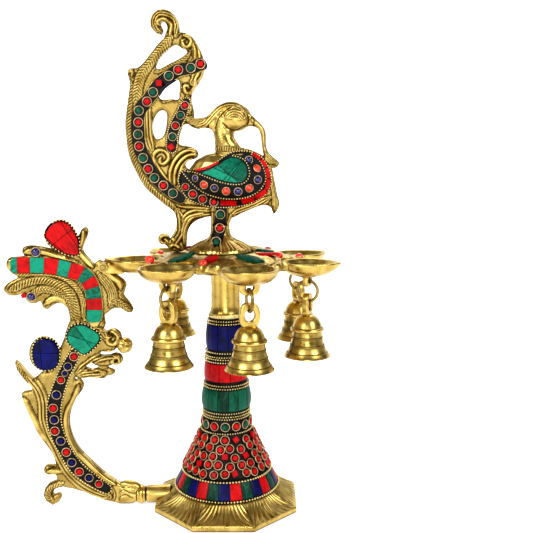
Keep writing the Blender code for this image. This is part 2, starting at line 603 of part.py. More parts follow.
HOLES = (
    [(-42.5, 285), (-40, 290.5), (-35.5, 295), (-30, 298.5), (-26.5, 296.5), (-23, 295), (-23.5, 292.5),
     (-30, 288.5), (-37, 284.8), (-41, 283.3)],
    [(-40.5, 270.5), (-38, 274), (-34, 276.5), (-28.7, 277.3), (-27.5, 273.5), (-28, 268.5),
     (-28.5, 265), (-33, 265.2), (-38, 264.6), (-41, 266.5)],
    [(-45.3, 250), (-42.5, 256.5), (-38.5, 258.5), (-36, 256), (-36.3, 250), (-37.5, 244.5),
     (-39.5, 241.3), (-43, 240.5), (-45, 244)],
)
NECK = [(-22, 252), (-16, 253.6), (-11, 254.5), (-7, 258.5), (-3, 261.5), (2, 263.4), (7, 263.5),
        (12, 261), (15, 258), (17, 255.5), (20.5, 252.5), (24, 248.8), (26, 245), (26.3, 240), (26.3, 236),
        (28, 232), (31, 229), (34.5, 226), (33.5, 223), (30, 222.5), (27, 226), (25, 230), (23.8, 235),
        (23.2, 241), (22, 246), (19.5, 248), (16, 248.5), (12, 247.5), (7, 246.5), (4, 245), (5, 241),
        (7, 238), (11, 234), (8, 226), (-1, 226), (-5, 231), (-6, 234.5), (-5.5, 238), (-6.5, 243),
        (-8, 246.3), (-12, 247.5), (-17, 246.8), (-22, 249)]
BODY = [(-23, 220.5), (-15, 220.5), (-9, 222), (-4, 225.5), (-2, 230), (3, 234), (10, 235), (15, 234.3),
        (20, 232.5), (25, 229.5), (28.5, 224.5), (30, 218), (29.5, 211), (27, 205), (22, 201), (14, 198.5),
        (5, 197), (-5, 197), (-14, 199.5), (-21, 203.5), (-26, 209), (-26, 216)]
CHEST_LEAF = [(27, 226), (30.5, 221), (32, 212), (33.5, 205), (35, 200), (33.7, 196), (31, 193),
              (29.5, 197.5), (24, 199), (18, 196.7), (10, 193.5), (5, 191), (2, 197), (10, 201), (22, 206),
              (27, 215)]
LEG = [(-8.8, 193), (-9, 185), (-10, 179), (-14, 175.2), (-20, 172), (-20, 169.3), (18, 169.3),
       (18, 172), (12, 174.5), (6, 177.5), (3.2, 181), (2.8, 187), (5, 192), (4, 199), (-8, 199)]
CREST = [(-33, 302, 4), (-31, 308, 3.8), (-32.8, 313.5, 3.6), (-37.3, 316.2, 3.5), (-41.3, 314, 3.4),
         (-42, 309.8, 3), (-39.8, 307, 2.4)]
BASE_NUB = (-39.5, 177.3)
BODY_BALL = ((3, 0, 215.5), (26.5, 10.5, 17), 8.0)  # centre, semi-axes, tilt
HEAD_BALL = ((6.5, 0, 254.6), (10.5, 7.2, 8.2))
NECK_ROD = (5.6, (0.2, 0, 247), (2.2, 0, 229))  # radius and ends
MOUND_OFFSET = -3.0
# The mound under the peacock, over its flat seat: (radius, height).
MOUND = [(20, 171.2), (15, 174), (10, 176.4), (6.5, 180), (5.6, 186), (0, 186)]
MOUND_RADIUS = 21.0
RECESS_RADIUS = 7.0  # the hollow over the tray nut
WING = [(-14, 219.5), (-8, 221.5), (-2, 224.5), (3, 229.5), (8, 226), (13, 222), (14.5, 217), (11, 213),
        (4, 212.7), (-3, 214.5)]
TAIL_STRIP = [(-14.5, 287, 3.2), (-21, 284.7, 3.4), (-28.5, 283, 3.4), (-34.8, 279.5, 3.4),
              (-41, 275, 3.4), (-45.3, 269.2, 3.6), (-49.2, 263.8, 3.6), (-54, 258, 3.6), (-55, 251, 3.7),
              (-55, 243.3, 3.7), (-54.2, 235.8, 3.7), (-51.7, 229, 3.7), (-48, 222, 3.7),
              (-44.3, 216, 3.7), (-39, 211, 3.7), (-33, 206, 3.6), (-29, 203, 3)]


def make_peacock():
    solids = [spline(outline, True, 2) for outline in (TAIL, NECK, BODY, CHEST_LEAF, LEG)]
    solids += stroke(CREST, 2) + [circle(BASE_NUB, 3.6, 12)]
    holes = [spline(outline, True, 2) for outline in HOLES]
    flat = plate(solids, holes, -PEACOCK_HALF, PEACOCK_HALF)
    peacock = finish("peacock", flat, brass())
    centre, radii, tilt = BODY_BALL
    join_to(peacock, finish("body", ball(centre, radii, 16, 9, tilt), brass()))
    join_to(peacock, finish("head", ball(*HEAD_BALL, 12, 8), brass()))
    join_to(peacock, finish("neck", rod(*NECK_ROD, 12), brass()))
    top = BOSS_TOP + GAP
    mound = turned([(0, top), (MOUND_RADIUS, top), *MOUND], 20)
    join_to(peacock, finish("mound", mound, brass(), Matrix.Translation((MOUND_OFFSET * MM, 0, 0))))
    recess = turned([(0, top - 2), (RECESS_RADIUS, top - 2), (RECESS_RADIUS, ROD_TOP + 0.5),
                     (0, ROD_TOP + 1.5)], 12)
    cut_from(peacock, finish("nut_recess", recess, brass()))


def make_peacock_stonework():
    """Thin shells of stone over the body, and a strip along the tail, on each side."""
    centre, radii, tilt = BODY_BALL
    for side, sign in (("front", -1), ("back", 1)):
        low, high = sorted((sign * 4.5, sign * 20))
        block = finish("block", plate([spline(WING, True, 2)], [], low, high), brass())
        outer = tuple(r + GAP + PLATE_INLAY for r in radii)
        inner = tuple(r + GAP for r in radii)
        shell = finish(f"peacock_wing_{side}", ball(centre, outer, 18, 10, tilt),
                       stone("malachite", MALACHITE))
        apply_boolean(shell, block, "INTERSECT")
        cut_from(shell, finish("inside", ball(centre, inner, 18, 10, tilt), brass()))
        face = PEACOCK_HALF + GAP
        low, high = sorted((sign * face, sign * (face + PLATE_INLAY)))
        finish(f"peacock_tail_strip_{side}", plate(stroke(TAIL_STRIP, 2), [], low, high),
               stone("black_lac", LAC))


def main():
    clear_scene()
    make_foot()
    make_column()
    make_stonework()
    make_neck()
    make_tie_rod()
    make_tray_plate()
    make_cups()
    make_bells()
    make_handle()
    make_handle_stonework()
    make_peacock()
    make_peacock_stonework()


main()
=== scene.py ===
"""Looks of the brass standing oil lamp: every visible piece of it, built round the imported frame.

Sizes below are in millimetres unless a name says otherwise, and MM turns them into metres.
"""
import math

import bmesh
import bpy
import numpy as np
from bpy.props import FloatProperty, FloatVectorProperty, PointerProperty
from mathutils import Matrix, Vector
from mathutils.bvhtree import BVHTree
from mathutils.geometry import delaunay_2d_cdt
from mathutils.kdtree import KDTree


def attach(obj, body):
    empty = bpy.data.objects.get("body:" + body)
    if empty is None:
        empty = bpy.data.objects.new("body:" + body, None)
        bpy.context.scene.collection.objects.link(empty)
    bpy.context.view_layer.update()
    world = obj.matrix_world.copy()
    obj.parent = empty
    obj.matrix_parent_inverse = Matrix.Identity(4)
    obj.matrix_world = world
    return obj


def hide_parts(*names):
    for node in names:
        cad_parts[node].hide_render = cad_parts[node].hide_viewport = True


bl_info = {
    "name": "Brass Peacock Oil Lamp",
    "version": (1, 0, 0),
    "blender": (4, 5, 0),
    "location": "View3D > Sidebar > Oil Lamp",
    "description": "Builds the finished surfaces of a standing brass oil lamp round its fixed frame",
    "category": "Object",
}

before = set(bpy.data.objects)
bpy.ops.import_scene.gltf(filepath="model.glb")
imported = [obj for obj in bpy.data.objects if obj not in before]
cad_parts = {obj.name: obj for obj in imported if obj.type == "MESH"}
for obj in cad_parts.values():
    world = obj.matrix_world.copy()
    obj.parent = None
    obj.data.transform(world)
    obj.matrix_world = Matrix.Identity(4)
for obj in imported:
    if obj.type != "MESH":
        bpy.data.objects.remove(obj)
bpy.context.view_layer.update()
MM = 0.001
BODY_STAND = "stand"
RNG_SEED = 7
HANDLE_ANGLE = 184.5  # degrees: the direction in which the handle stands, under the first cup


# ---------------------------------------------------------------- small tools

def deselect_all():
    if bpy.context.object and bpy.context.object.mode != "OBJECT":
        bpy.ops.object.mode_set(mode="OBJECT")
    bpy.ops.object.select_all(action="DESELECT")


def activate(piece):
    deselect_all()
    piece.select_set(True)
    bpy.context.view_layer.objects.active = piece


def settle(piece):
    """Put the piece's place into its mesh, so its object sits at the origin."""
    activate(piece)
    bpy.ops.object.transform_apply(location=True, rotation=True, scale=True)


def add_modifier(piece, kind, **settings):
    """Add a modifier and apply it."""
    activate(piece)
    modifier = piece.modifiers.new(kind.lower(), kind)
    for name, value in settings.items():
        setattr(modifier, name, value)
    bpy.ops.object.modifier_apply(modifier=modifier.name)


def from_points(name, points, faces, edges=()):
    """A mesh object from millimetre points."""
    mesh = bpy.data.meshes.new(name)
    mesh.from_pydata((np.asarray(points, float) * MM).tolist(), edges, faces)
    mesh.update()
    piece = bpy.data.objects.new(name, mesh)
    bpy.context.collection.objects.link(piece)
    return piece


def get_points(piece):
    """The mesh's points in millimetres, as an array."""
    flat = np.empty(len(piece.data.vertices) * 3)
    piece.data.vertices.foreach_get("co", flat)
    return flat.reshape(-1, 3) / MM


def set_points(piece, points):
    piece.data.vertices.foreach_set("co", (np.asarray(points) * MM).ravel())
    piece.data.update()


def outwards(piece):
    activate(piece)
    bpy.ops.object.mode_set(mode="EDIT")
    bpy.ops.mesh.select_all(action="SELECT")
    bpy.ops.mesh.remove_doubles(threshold=1e-6)
    bpy.ops.mesh.normals_make_consistent(inside=False)
    bpy.ops.object.mode_set(mode="OBJECT")


def smooth(piece, degrees=40.0):
    activate(piece)
    bpy.ops.object.shade_smooth_by_angle(angle=math.radians(degrees))


def turn(name, profile, segments=96, closed=False):
    """Spin (radius, height) points about Z into a surface of revolution."""
    count = len(profile)
    chain = [(k, k + 1) for k in range(count - 1)] + ([(count - 1, 0)] if closed else [])
    piece = from_points(name, [(r, 0.0, z) for r, z in profile], [], chain)
    activate(piece)
    bpy.ops.object.mode_set(mode="EDIT")
    bpy.ops.mesh.select_all(action="SELECT")
    bpy.ops.mesh.spin(steps=segments, angle=2 * math.pi, center=(0, 0, 0), axis=(0, 0, 1))
    bpy.ops.mesh.select_all(action="SELECT")
    bpy.ops.mesh.remove_doubles(threshold=2e-6)
    bpy.ops.mesh.normals_make_consistent(inside=False)
    bpy.ops.object.mode_set(mode="OBJECT")
    return piece


def spline(points, closed=False, steps=6):
    """Catmull-Rom points through the given ones, of any dimension."""
    rows = np.asarray(points, float)
    count = len(rows)
    curve = []
    for k in range(count if closed else count - 1):
        if closed:
            a, b, c, d = (rows[(k + n) % count] for n in (-1, 0, 1, 2))
        else:
            a, b, c, d = (rows[min(max(k + n, 0), count - 1)] for n in (-1, 0, 1, 2))
        for step in range(steps):
            t = step / steps
            curve.append(0.5 * (2 * b + (c - a) * t + (2 * a - 5 * b + 4 * c - d) * t * t
                                + (3 * b - a - 3 * c + d) * t ** 3))
    if not closed:
        curve.append(rows[-1])
    return np.array(curve)


def evenly(curve, spacing, closed=False):
    """Points at an even spacing along a polyline."""
    line = np.vstack([curve, curve[:1]]) if closed else np.asarray(curve)
    lengths = np.r_[0, np.cumsum(np.linalg.norm(np.diff(line, axis=0), axis=1))]
    count = max(int(round(lengths[-1] / spacing)), 2)
    places = np.linspace(0, lengths[-1], count, endpoint=not closed)
    return np.stack([np.interp(places, lengths, line[:, n]) for n in range(line.shape[1])], axis=1)


def offset(outline, distance):
    """A closed outline moved outwards by distance (inwards if negative)."""
    rows = np.asarray(outline, float)
    area = np.sum(rows[:, 0] * np.roll(rows[:, 1], -1) - np.roll(rows[:, 0], -1) * rows[:, 1])
    along = np.roll(rows, -1, axis=0) - np.roll(rows, 1, axis=0)
    along /= np.linalg.norm(along, axis=1)[:, None]
    return rows + np.stack([along[:, 1], -along[:, 0]], axis=1) * distance * (1 if area > 0 else -1)


def circle(centre, radius, segments=24):
    return [(centre[0] + radius * math.cos(2 * math.pi * k / segments),
             centre[1] + radius * math.sin(2 * math.pi * k / segments)) for k in range(segments)]


def scatter(name, template, places):
    """One object that holds a copy of the template's mesh at each place."""
    base = get_points(template)
    homogeneous = np.c_[base, np.ones(len(base))]
    loops = [tuple(face.vertices) for face in template.data.polygons]
    points, faces = [], []
    for count, place in enumerate(places):
        points.append((homogeneous @ np.array(place).T)[:, :3])
        start = count * len(base)
        faces.extend(tuple(start + v for v in loop) for loop in loops)
    piece = from_points(name, np.vstack(points), faces)
    piece.data.shade_smooth()
    return piece


def join(name, pieces):
    activate(pieces[0])
    for piece in pieces[1:]:
        piece.select_set(True)
    if len(pieces) > 1:
        bpy.ops.object.join()
    pieces[0].name = name
    return pieces[0]


def drop(template):
    bpy.data.objects.remove(template, do_unlink=True)


def facing(position, normal, size=1.0, spin=0.0, stretch=(1, 1, 1)):
    """Place a shape that stands on its own XY plane on a surface point, its Z along the normal."""
    turn_to = Vector(normal).to_track_quat("Z", "Y").to_matrix().to_4x4()
    return (Matrix.Translation(Vector(position)) @ turn_to @ Matrix.Rotation(spin, 4, "Z")
            @ Matrix.Diagonal((size * stretch[0], size * stretch[1], size * stretch[2], 1)))


def dress(piece, body, finish, replaces=()):
    """Give a finished piece its material and its body, and hide the nodes it stands for."""
    piece.data.materials.clear()
    piece.data.materials.append(finish)
    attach(piece, body)
    if replaces:
        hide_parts(*replaces)


# ---------------------------------------------------------------- materials

def linear(code):
    """An sRGB hex colour as linear RGBA."""
    channels = [int(code[k:k + 2], 16) / 255 for k in (1, 3, 5)]
    return tuple(c / 12.92 if c <= 0.04045 else ((c + 0.055) / 1.055) ** 2.4 for c in channels) + (1.0,)


def add_node(tree, kind, settings=None, values=None, links=None):
    """Add a node with its settings, its input values and its links {input: (node, output)}."""
    node = tree.nodes.new(kind)
    for name, value in (settings or {}).items():
        setattr(node, name, value)
    for name, value in (values or {}).items():
        node.inputs[name].default_value = value
    for name, (source, output) in (links or {}).items():
        tree.links.new(source.outputs[output], node.inputs[name])
    return node


def ramp(tree, source, output, stops):
    """A colour ramp on another node's output, with (position, colour) stops."""
    node = add_node(tree, "ShaderNodeValToRGB", links={"Fac": (source, output)})
    node.color_ramp.elements[0].position, node.color_ramp.elements[0].color = stops[0]
    node.color_ramp.elements[1].position, node.color_ramp.elements[1].color = stops[1]
    for position, colour in stops[2:]:
        node.color_ramp.elements.new(position).color = colour
    return node


def start_material(name, **values):
    """A material with a bare Principled shader: returns the material, its tree, shader and coordinates."""
    made = bpy.data.materials.new(name)
    made.use_nodes = True
    tree = made.node_tree
    shader = tree.nodes["Principled BSDF"]
    for key, value in values.items():
        shader.inputs[key.replace("_", " ")].default_value = value
    place = add_node(tree, "ShaderNodeTexCoord")
    return made, tree, shader, place


def grey(value):
    return (value, value, value, 1.0)


def plug(tree, shader, colour, rough, bump):
    """Connect a surface's colour, roughness and normal."""
    for (node, output), name in ((colour, "Base Color"), (rough, "Roughness"), (bump, "Normal")):
        tree.links.new(node.outputs[output], shader.inputs[name])


def cast_brass(name, bright, deep, roughness, shade_and_patina=0.85, reach=2.2):
    """Cast brass, hand polished, with shade painted dark brown into its hollows, also standing for old
    tarnish.

    The grain of the sand mould shows as a fine bump, 0.35 mm wide, and handling clouds the polish
    in patches of about 6 mm. bright is linear RGBA, and deep is an sRGB hex colour.
    """
    made, tree, shader, place = start_material(name, Metallic=1.0)
    clouds = add_node(tree, "ShaderNodeTexNoise", values={"Scale": 160.0, "Detail": 4.0},
                      links={"Vector": (place, "Object")})
    grain = add_node(tree, "ShaderNodeTexNoise", values={"Scale": 2600.0, "Detail": 2.0},
                     links={"Vector": (place, "Object")})
    # Painted shade: occlusion within reach darkens the colour where the relief hides the light.
    hollow = add_node(tree, "ShaderNodeAmbientOcclusion", {"samples": 6, "only_local": False},
                      {"Distance": reach * MM})
    painted_shade = ramp(tree, hollow, "AO", [(0.28, grey(1.0)), (0.80, grey(0.0))])
    crevice = add_node(tree, "ShaderNodeAttribute", {"attribute_name": "crevice"})
    worst = add_node(tree, "ShaderNodeMath", {"operation": "MAXIMUM"}, None,
                     {0: (painted_shade, "Color"), 1: (crevice, "Fac")})
    amount = add_node(tree, "ShaderNodeMath", {"operation": "MULTIPLY"}, {1: shade_and_patina}, {0: (worst, 0)})
    metal = ramp(tree, clouds, "Fac", [(0.25, linear(deep)), (0.68, bright)])
    # The dark brown #1E1305 is the painted shade in the hollows, and the old tarnish there.
    colour = add_node(tree, "ShaderNodeMix", {"data_type": "RGBA"}, {"B": linear("#1E1305")},
                      {"Factor": (amount, 0), "A": (metal, "Color")})
    rough = add_node(tree, "ShaderNodeMapRange",
                     values={"From Min": 0.3, "From Max": 0.7, "To Min": roughness - 0.06,
                             "To Max": roughness + 0.10}, links={"Value": (clouds, "Fac")})
    dull = add_node(tree, "ShaderNodeMath", {"operation": "MULTIPLY_ADD"}, {1: 0.35},
                    {0: (amount, 0), 2: (rough, "Result")})
    bump = add_node(tree, "ShaderNodeBump", values={"Strength": 0.25, "Distance": 0.06 * MM},
                    links={"Height": (grain, "Fac")})
    plug(tree, shader, (colour, "Result"), (dull, 0), (bump, "Normal"))
    return made


def cut_stone(name, light, dark, vein_scale, stretch=(1, 1, 1), roughness=0.42, contrast=0.12):
    """Composition stone, sawn and ground flush: matt gloss, darker veins along each slip."""
    made, tree, shader, place = start_material(name, Specular_IOR_Level=0.16)
    mapping = add_node(tree, "ShaderNodeMapping", links={"Vector": (place, "Object")})
    mapping.inputs["Scale"].default_value = stretch
    vein = add_node(tree, "ShaderNodeTexNoise", values={"Scale": vein_scale, "Detail": 6.0,
                    "Roughness": 0.65, "Distortion": 0.8}, links={"Vector": (mapping, "Vector")})
    slip = add_node(tree, "ShaderNodeAttribute", {"attribute_name": "slip"})
    tone = add_node(tree, "ShaderNodeMath", {"operation": "MULTIPLY_ADD"}, {1: contrast},
                    {0: (slip, "Fac"), 2: (vein, "Fac")})
    colour = ramp(tree, tone, 0, [(0.36, linear(dark)), (0.62, light)])
    scratch = add_node(tree, "ShaderNodeTexNoise", values={"Scale": 1800.0, "Detail": 3.0},
                       links={"Vector": (mapping, "Vector")})
    rough = add_node(tree, "ShaderNodeMapRange", values={"To Min": roughness - 0.08,
                     "To Max": roughness + 0.12}, links={"Value": (scratch, "Fac")})
    bump = add_node(tree, "ShaderNodeBump", values={"Strength": 0.2, "Distance": 0.05 * MM},
                    links={"Height": (scratch, "Fac")})
    plug(tree, shader, (colour, "Color"), (rough, "Result"), (bump, "Normal"))
    return made


def lac():
    """Black lac resin that holds the stones: poured hot and scraped, so it is low gloss and pitted."""
    made, tree, shader, place = start_material("black_lac_resin", Specular_IOR_Level=0.22)
    pits = add_node(tree, "ShaderNodeTexNoise", values={"Scale": 900.0, "Detail": 4.0},
                    links={"Vector": (place, "Object")})
    colour = ramp(tree, pits, "Fac", [(0.35, linear("#020202")), (0.74, linear("#0D0B08"))])
    bump = add_node(tree, "ShaderNodeBump", values={"Strength": 0.5, "Distance": 0.15 * MM},
                    links={"Height": (pits, "Fac")})
    rough = add_node(tree, "ShaderNodeMapRange", values={"To Min": 0.38, "To Max": 0.62},
                     links={"Value": (pits, "Fac")})
    plug(tree, shader, (colour, "Color"), (rough, "Result"), (bump, "Normal"))
    return made


def glass_bead(name, colour, deep):
    """Pressed glass cabochon: glossy dome, colour a little uneven with depth."""
    made, tree, shader, place = start_material(name, Roughness=0.08, Coat_Weight=0.6, Coat_Roughness=0.03)
    cloud = add_node(tree, "ShaderNodeTexNoise", values={"Scale": 500.0, "Detail": 2.0},
                     links={"Vector": (place, "Object")})
    depth = ramp(tree, cloud, "Fac", [(0.3, linear(deep)), (0.65, colour)])
    tree.links.new(depth.outputs["Color"], shader.inputs["Base Color"])
    return made


FINISHES = {}


def tint(name):
    """A colour that the user can change, as linear RGBA."""
    return (*getattr(bpy.context.scene.lamp_finish, name + "_colour"), 1.0)


def finish(name):
    """The lamp's materials, each made once."""
    if name in FINISHES:
        return FINISHES[name]
    settings = bpy.context.scene.lamp_finish
    polish = settings.brass_roughness
    makers = {
        "brass": lambda: cast_brass("cast_brass_polished", tint("brass"), "#A88A40", polish, reach=3.0),
        "relief_brass": lambda: cast_brass("cast_brass_relief", tint("relief_brass"), "#A0823C",
                                           polish + 0.03, 0.95, 3.4),
        "old_brass": lambda: cast_brass("aged_brass", tint("old_brass"), "#6E5A2C", 0.38, 0.9, 2.0),
        "bead_brass": lambda: cast_brass("brass_bead_wire", linear("#EFDFA6"), "#CDB26A", 0.32, 0.6, 0.8),
        "bezel": lambda: cast_brass("brass_bezel_wire", linear("#D8C09A"), "#A88A62", 0.38, 0.5, 0.8),
        "coral": lambda: cut_stone("coral_red_stone", tint("coral"), "#8E0105", 200.0),
        "malachite": lambda: cut_stone("malachite_green_stone", tint("malachite"), "#012A1E", 260.0,
                                       (1.8, 1.8, 0.5), 0.4, 0.3),
        "lapis": lambda: cut_stone("lapis_blue_stone", tint("lapis"), "#020530", 240.0),
        "bright_malachite": lambda: cut_stone("bright_malachite_stone", tint("bright_malachite"), "#04503C",
                                              240.0, (1.6, 0.8, 1.6), 0.4, 0.3),
        "lac": lac,
        "navy_glass": lambda: glass_bead("navy_glass_cabochon", tint("navy_glass"), "#05052E"),
        "red_glass": lambda: glass_bead("orange_red_glass_cabochon", tint("red_glass"), "#D21A08"),
    }
    FINISHES[name] = makers[name]()
    return FINISHES[name]


def place_piece(piece, finish_name, body=BODY_STAND, replaces=()):
    dress(piece, body, finish(finish_name), replaces)
    return piece


# ---------------------------------------------------------------- repeated little shapes

def bead_shape():
    """One cast bead, a few dozen faces."""
    deselect_all()
    bpy.ops.mesh.primitive_uv_sphere_add(segments=8, ring_count=6, radius=1.0 * MM)
    return bpy.context.object


BEZEL_CENTRE, BEZEL_WIRE = 0.89, 0.105  # shares of the bezel's outer radius


def bezel_shape():
    """A wire bezel lying on the XY plane, outer radius 1."""
    deselect_all()
    bpy.ops.mesh.primitive_torus_add(major_segments=16, minor_segments=5, major_radius=BEZEL_CENTRE * MM,
                                     minor_radius=BEZEL_WIRE * MM, location=(0, 0, 0.1 * MM))
    settle(bpy.context.object)
    return bpy.context.object


def chip_shape(sides=7, height=0.35):
    """A hand-cut stone with a bevelled top, radius 1, standing on the XY plane."""
    deselect_all()
    bpy.ops.mesh.primitive_cylinder_add(vertices=sides, radius=1.0 * MM, depth=height * MM,
                                        location=(0, 0, height * MM / 2))
    piece = bpy.context.object
    settle(piece)
    bpy.ops.object.mode_set(mode="EDIT")
    bpy.ops.mesh.select_all(action="DESELECT")
    bpy.ops.object.mode_set(mode="OBJECT")
    for face in piece.data.polygons:
        face.select = face.normal.z > 0.9
    bpy.ops.object.mode_set(mode="EDIT")
    bpy.ops.mesh.inset(thickness=0.1 * MM, depth=0.08 * MM)
    bpy.ops.object.mode_set(mode="OBJECT")
    return piece


def dome_shape():
    """A cabochon, radius 1, standing on the XY plane."""
    deselect_all()
    bpy.ops.mesh.primitive_uv_sphere_add(segments=20, ring_count=12, radius=1.0 * MM)
    piece = bpy.context.object
    piece.scale = (1, 1, 0.6)
    settle(piece)
    return piece


def bead_string(name, spots, radius, replaces=()):
    """Beads at (position, normal) spots."""
    shape = bead_shape()
    piece = scatter(name, shape, [facing(p, n, radius) for p, n in spots])
    drop(shape)
    return place_piece(piece, "bead_brass", replaces=replaces)


def set_stones(name, spots, colour, ring=True, seed=RNG_SEED, sides=7, rise=0.15, domed=False):
    """Stones at (position, normal, radius) spots, each in a wire bezel."""
    rng = np.random.default_rng(seed)
    shape = dome_shape() if domed else chip_shape(sides)
    shape_share = 0.78 if domed else 0.7 if sides == 4 else 0.66
    inner = shape_share if ring else 1.0  # a stone in a bezel is smaller than the bezel
    places = []
    for position, normal, radius in spots:
        spin = rng.uniform(0, 2 * math.pi)
        uneven = (rng.uniform(0.92, 1.08), rng.uniform(0.92, 1.08), 1.6)
        raised = Vector(position) + Vector(normal) * rise
        places.append(facing(raised, normal, radius * inner, spin, uneven))
    piece = scatter(name, shape, places)
    drop(shape)
    if not domed:
        smooth(piece, 30)
    place_piece(piece, colour)
    if ring:
        shape = bezel_shape()
        rings = scatter(name + "_bezels", shape, [
            facing(Vector(p) + Vector(n) * rise, n, r, 0, (1, 1, 1.5)) for p, n, r in spots])
        drop(shape)
        place_piece(rings, "bezel")


# ---------------------------------------------------------------- sculpted castings

HALF_PLATE = 3.5  # half of a casting's thickness
GROUND_DEPTH = -0.55  # how far the ground between the relief lies back
HATCH = (0.8, 0.6)  # direction of the file marks on the ground
HATCH_PITCH = 1.7


class Casting:
    """A flat casting in its own plane, with +Y or -Y facing the viewer's side of the lamp."""

    def __init__(self, node, angle, front):
        self.node, self.half, self.front = node, HALF_PLATE, front
        self.to_world = Matrix.Rotation(math.radians(angle), 4, "Z")
        self.piece = None
        self.tree = None

    def model(self, relief, swells=(), beds=(), calm=(), keep_round=0.45, edge=3.0):
        """Remesh a copy of the CAD node, round its edges and raise the relief on both faces.

        Inside beds all is flat. Inside calm outlines the relief stays but the ground between is smooth.
        """
        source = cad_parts[self.node]
        piece = bpy.data.objects.new(self.node + "_casting", source.data.copy())
        bpy.context.collection.objects.link(piece)
        piece.data.transform(self.to_world.inverted())
        outwards(piece)
        outline = outline_points(piece, self.half)
        piece = join(piece.name, [piece] + [swell(*form) for form in swells])
        detail = bpy.context.scene.lamp_finish.casting_detail
        add_modifier(piece, "REMESH", mode="VOXEL", voxel_size=detail, use_smooth_shade=True)
        add_modifier(piece, "SMOOTH", factor=0.5, iterations=4)
        points = get_points(piece)
        depth = outline_distance(points, outline)
        from_rim = 1 - np.clip(depth / edge, 0, 1)
        rounded = keep_round + (1 - keep_round) * np.sqrt(np.clip(1 - from_rim ** 2, 0, 1))
        thin = np.abs(points[:, 1]) <= self.half + 0.4
        across = points[:, 1].copy()
        across[thin] *= rounded[thin]
        share = np.clip(points[:, 1] / self.half, -1, 1)
        lift, weight = relief_height(points[:, [0, 2]], relief)
        across_hatch = points[:, 0] * HATCH[0] + points[:, 2] * HATCH[1]
        hatch = np.cos(across_hatch * 2 * np.pi / HATCH_PITCH)
        ground = (weight == 0) & thin
        for outline in calm:
            ground &= ~inside_outline(points[:, [0, 2]], outline)
        lift = np.where(ground, GROUND_DEPTH + 0.07 * hatch, lift)
        for outline in beds:
            covered = inside_outline(points[:, [0, 2]], outline)
            lift, ground = np.where(covered, 0.0, lift), ground & ~covered
        points[:, 1] = across + share * lift
        set_points(piece, points)
        # Mask for shade painted into the relief's hollows and ground.
        mark_crevices(piece, lift, ground)
        piece.data.shade_smooth()
        self.piece = piece
        self.look_up()

    def look_up(self):
        self.tree = BVHTree.FromObject(self.piece, bpy.context.evaluated_depsgraph_get())

    def drop_on(self, x, z, side):
        """Where a line along Y first meets the casting, and its normal there."""
        sign = self.front * side
        start = Vector((x, sign * 60, z)) * MM
        position, normal, _, _ = self.tree.ray_cast(start, Vector((0, -sign, 0)))
        if position is None:
            return Vector((x, sign * self.half, z)), Vector((0, sign, 0))
        return position / MM, normal

    def spots(self, plan, side, sink=0.0):
        """(position, normal) for each (x, z). On the flat parts pieces lie level."""
        found = []
        for x, z in plan:
            position, normal = self.drop_on(x, z, side)
            if abs(position.y) < self.half + 2.2:
                normal = Vector((0, self.front * side, 0))
            found.append((position - normal * sink, normal))
        return found

    def carry(self, piece):
        """Take a piece from the casting's plane to the world."""
        piece.data.transform(self.to_world)
        return piece


def swell(centre, radii):
    """An egg-shaped mass that melts into a casting."""
    deselect_all()
    bpy.ops.mesh.primitive_uv_sphere_add(segments=32, ring_count=20, radius=1.0)
    piece = bpy.context.object
    stretch = Matrix.Diagonal((*(radius * MM for radius in radii), 1))
    piece.matrix_world = Matrix.Translation(Vector(centre) * MM) @ stretch
    settle(piece)
    return piece


def mark_crevices(piece, lift, ground):
    """Store how far each point lies below its neighbours' relief: a mask for shade painted dark into the
    hollows, also standing for old tarnish there.
    """
    edges = np.empty(len(piece.data.edges) * 2, int)
    piece.data.edges.foreach_get("vertices", edges)
    edges = edges.reshape(-1, 2)
    degree = np.bincount(edges.ravel(), minlength=len(lift)).clip(1)
    around = lift.copy()
    for _ in range(3):
        total = (np.bincount(edges[:, 0], around[edges[:, 1]], len(lift))
                 + np.bincount(edges[:, 1], around[edges[:, 0]], len(lift)))
        around = total / degree
    depth = np.clip((around - lift) / 0.16, 0, 1) * 0.95
    layer = piece.data.attributes.new("crevice", "FLOAT", "POINT")
    # The sunken ground gets at least 0.3 of the painted shade.
    layer.data.foreach_set("value", np.maximum(depth, np.where(ground, 0.3, 0)))


def outline_points(piece, half):
    """Points of a flat casting's outline, every 0.6 mm, from the edges between its face and its side."""
    mesh = bmesh.new()
    mesh.from_mesh(piece.data)
    found = []
    for edge in mesh.edges:
        if len(edge.link_faces) != 2 or min(abs(v.co.y / MM) for v in edge.verts) < half - 0.1:
            continue
        flat = [abs(f.normal.y) > 0.9 for f in edge.link_faces]
        walls = [abs(f.normal.y) < 0.05 for f in edge.link_faces]
        if flat[0] != flat[1] and walls[0] != walls[1]:
            a, b = (v.co / MM for v in edge.verts)
            steps = max(int((b - a).length / 0.6), 1)
            found += [a.lerp(b, k / steps) for k in range(steps + 1)]
    mesh.free()
    return found


def outline_distance(points, outline):
    tree = KDTree(len(outline))
    for k, point in enumerate(outline):
        tree.insert((point.x, 0.0, point.z), k)
    tree.balance()
    return np.array([tree.find((x, 0.0, z))[2] for x, _, z in points])


def nearest_on_line(flat, line):
    """Distance along and signed distance across a polyline, for each flat point."""
    best = np.full(len(flat), 1e9)
    along, across = np.zeros(len(flat)), np.zeros(len(flat))
    travelled = 0.0
    for a, b in zip(line, line[1:]):
        step = b - a
        length = np.hypot(*step)
        if length < 1e-6:
            continue
        unit = step / length
        away = flat - a
        t = np.clip(away @ unit, 0, length)
        miss = away - t[:, None] * unit
        distance = np.hypot(miss[:, 0], miss[:, 1])
        closer = distance < best
        best[closer] = distance[closer]
        along[closer] = travelled + t[closer]
        sign = np.sign(unit[0] * away[:, 1] - unit[1] * away[:, 0])
        across[closer] = (distance * np.where(sign == 0, 1, sign))[closer]
        travelled += length
    return along, across, travelled


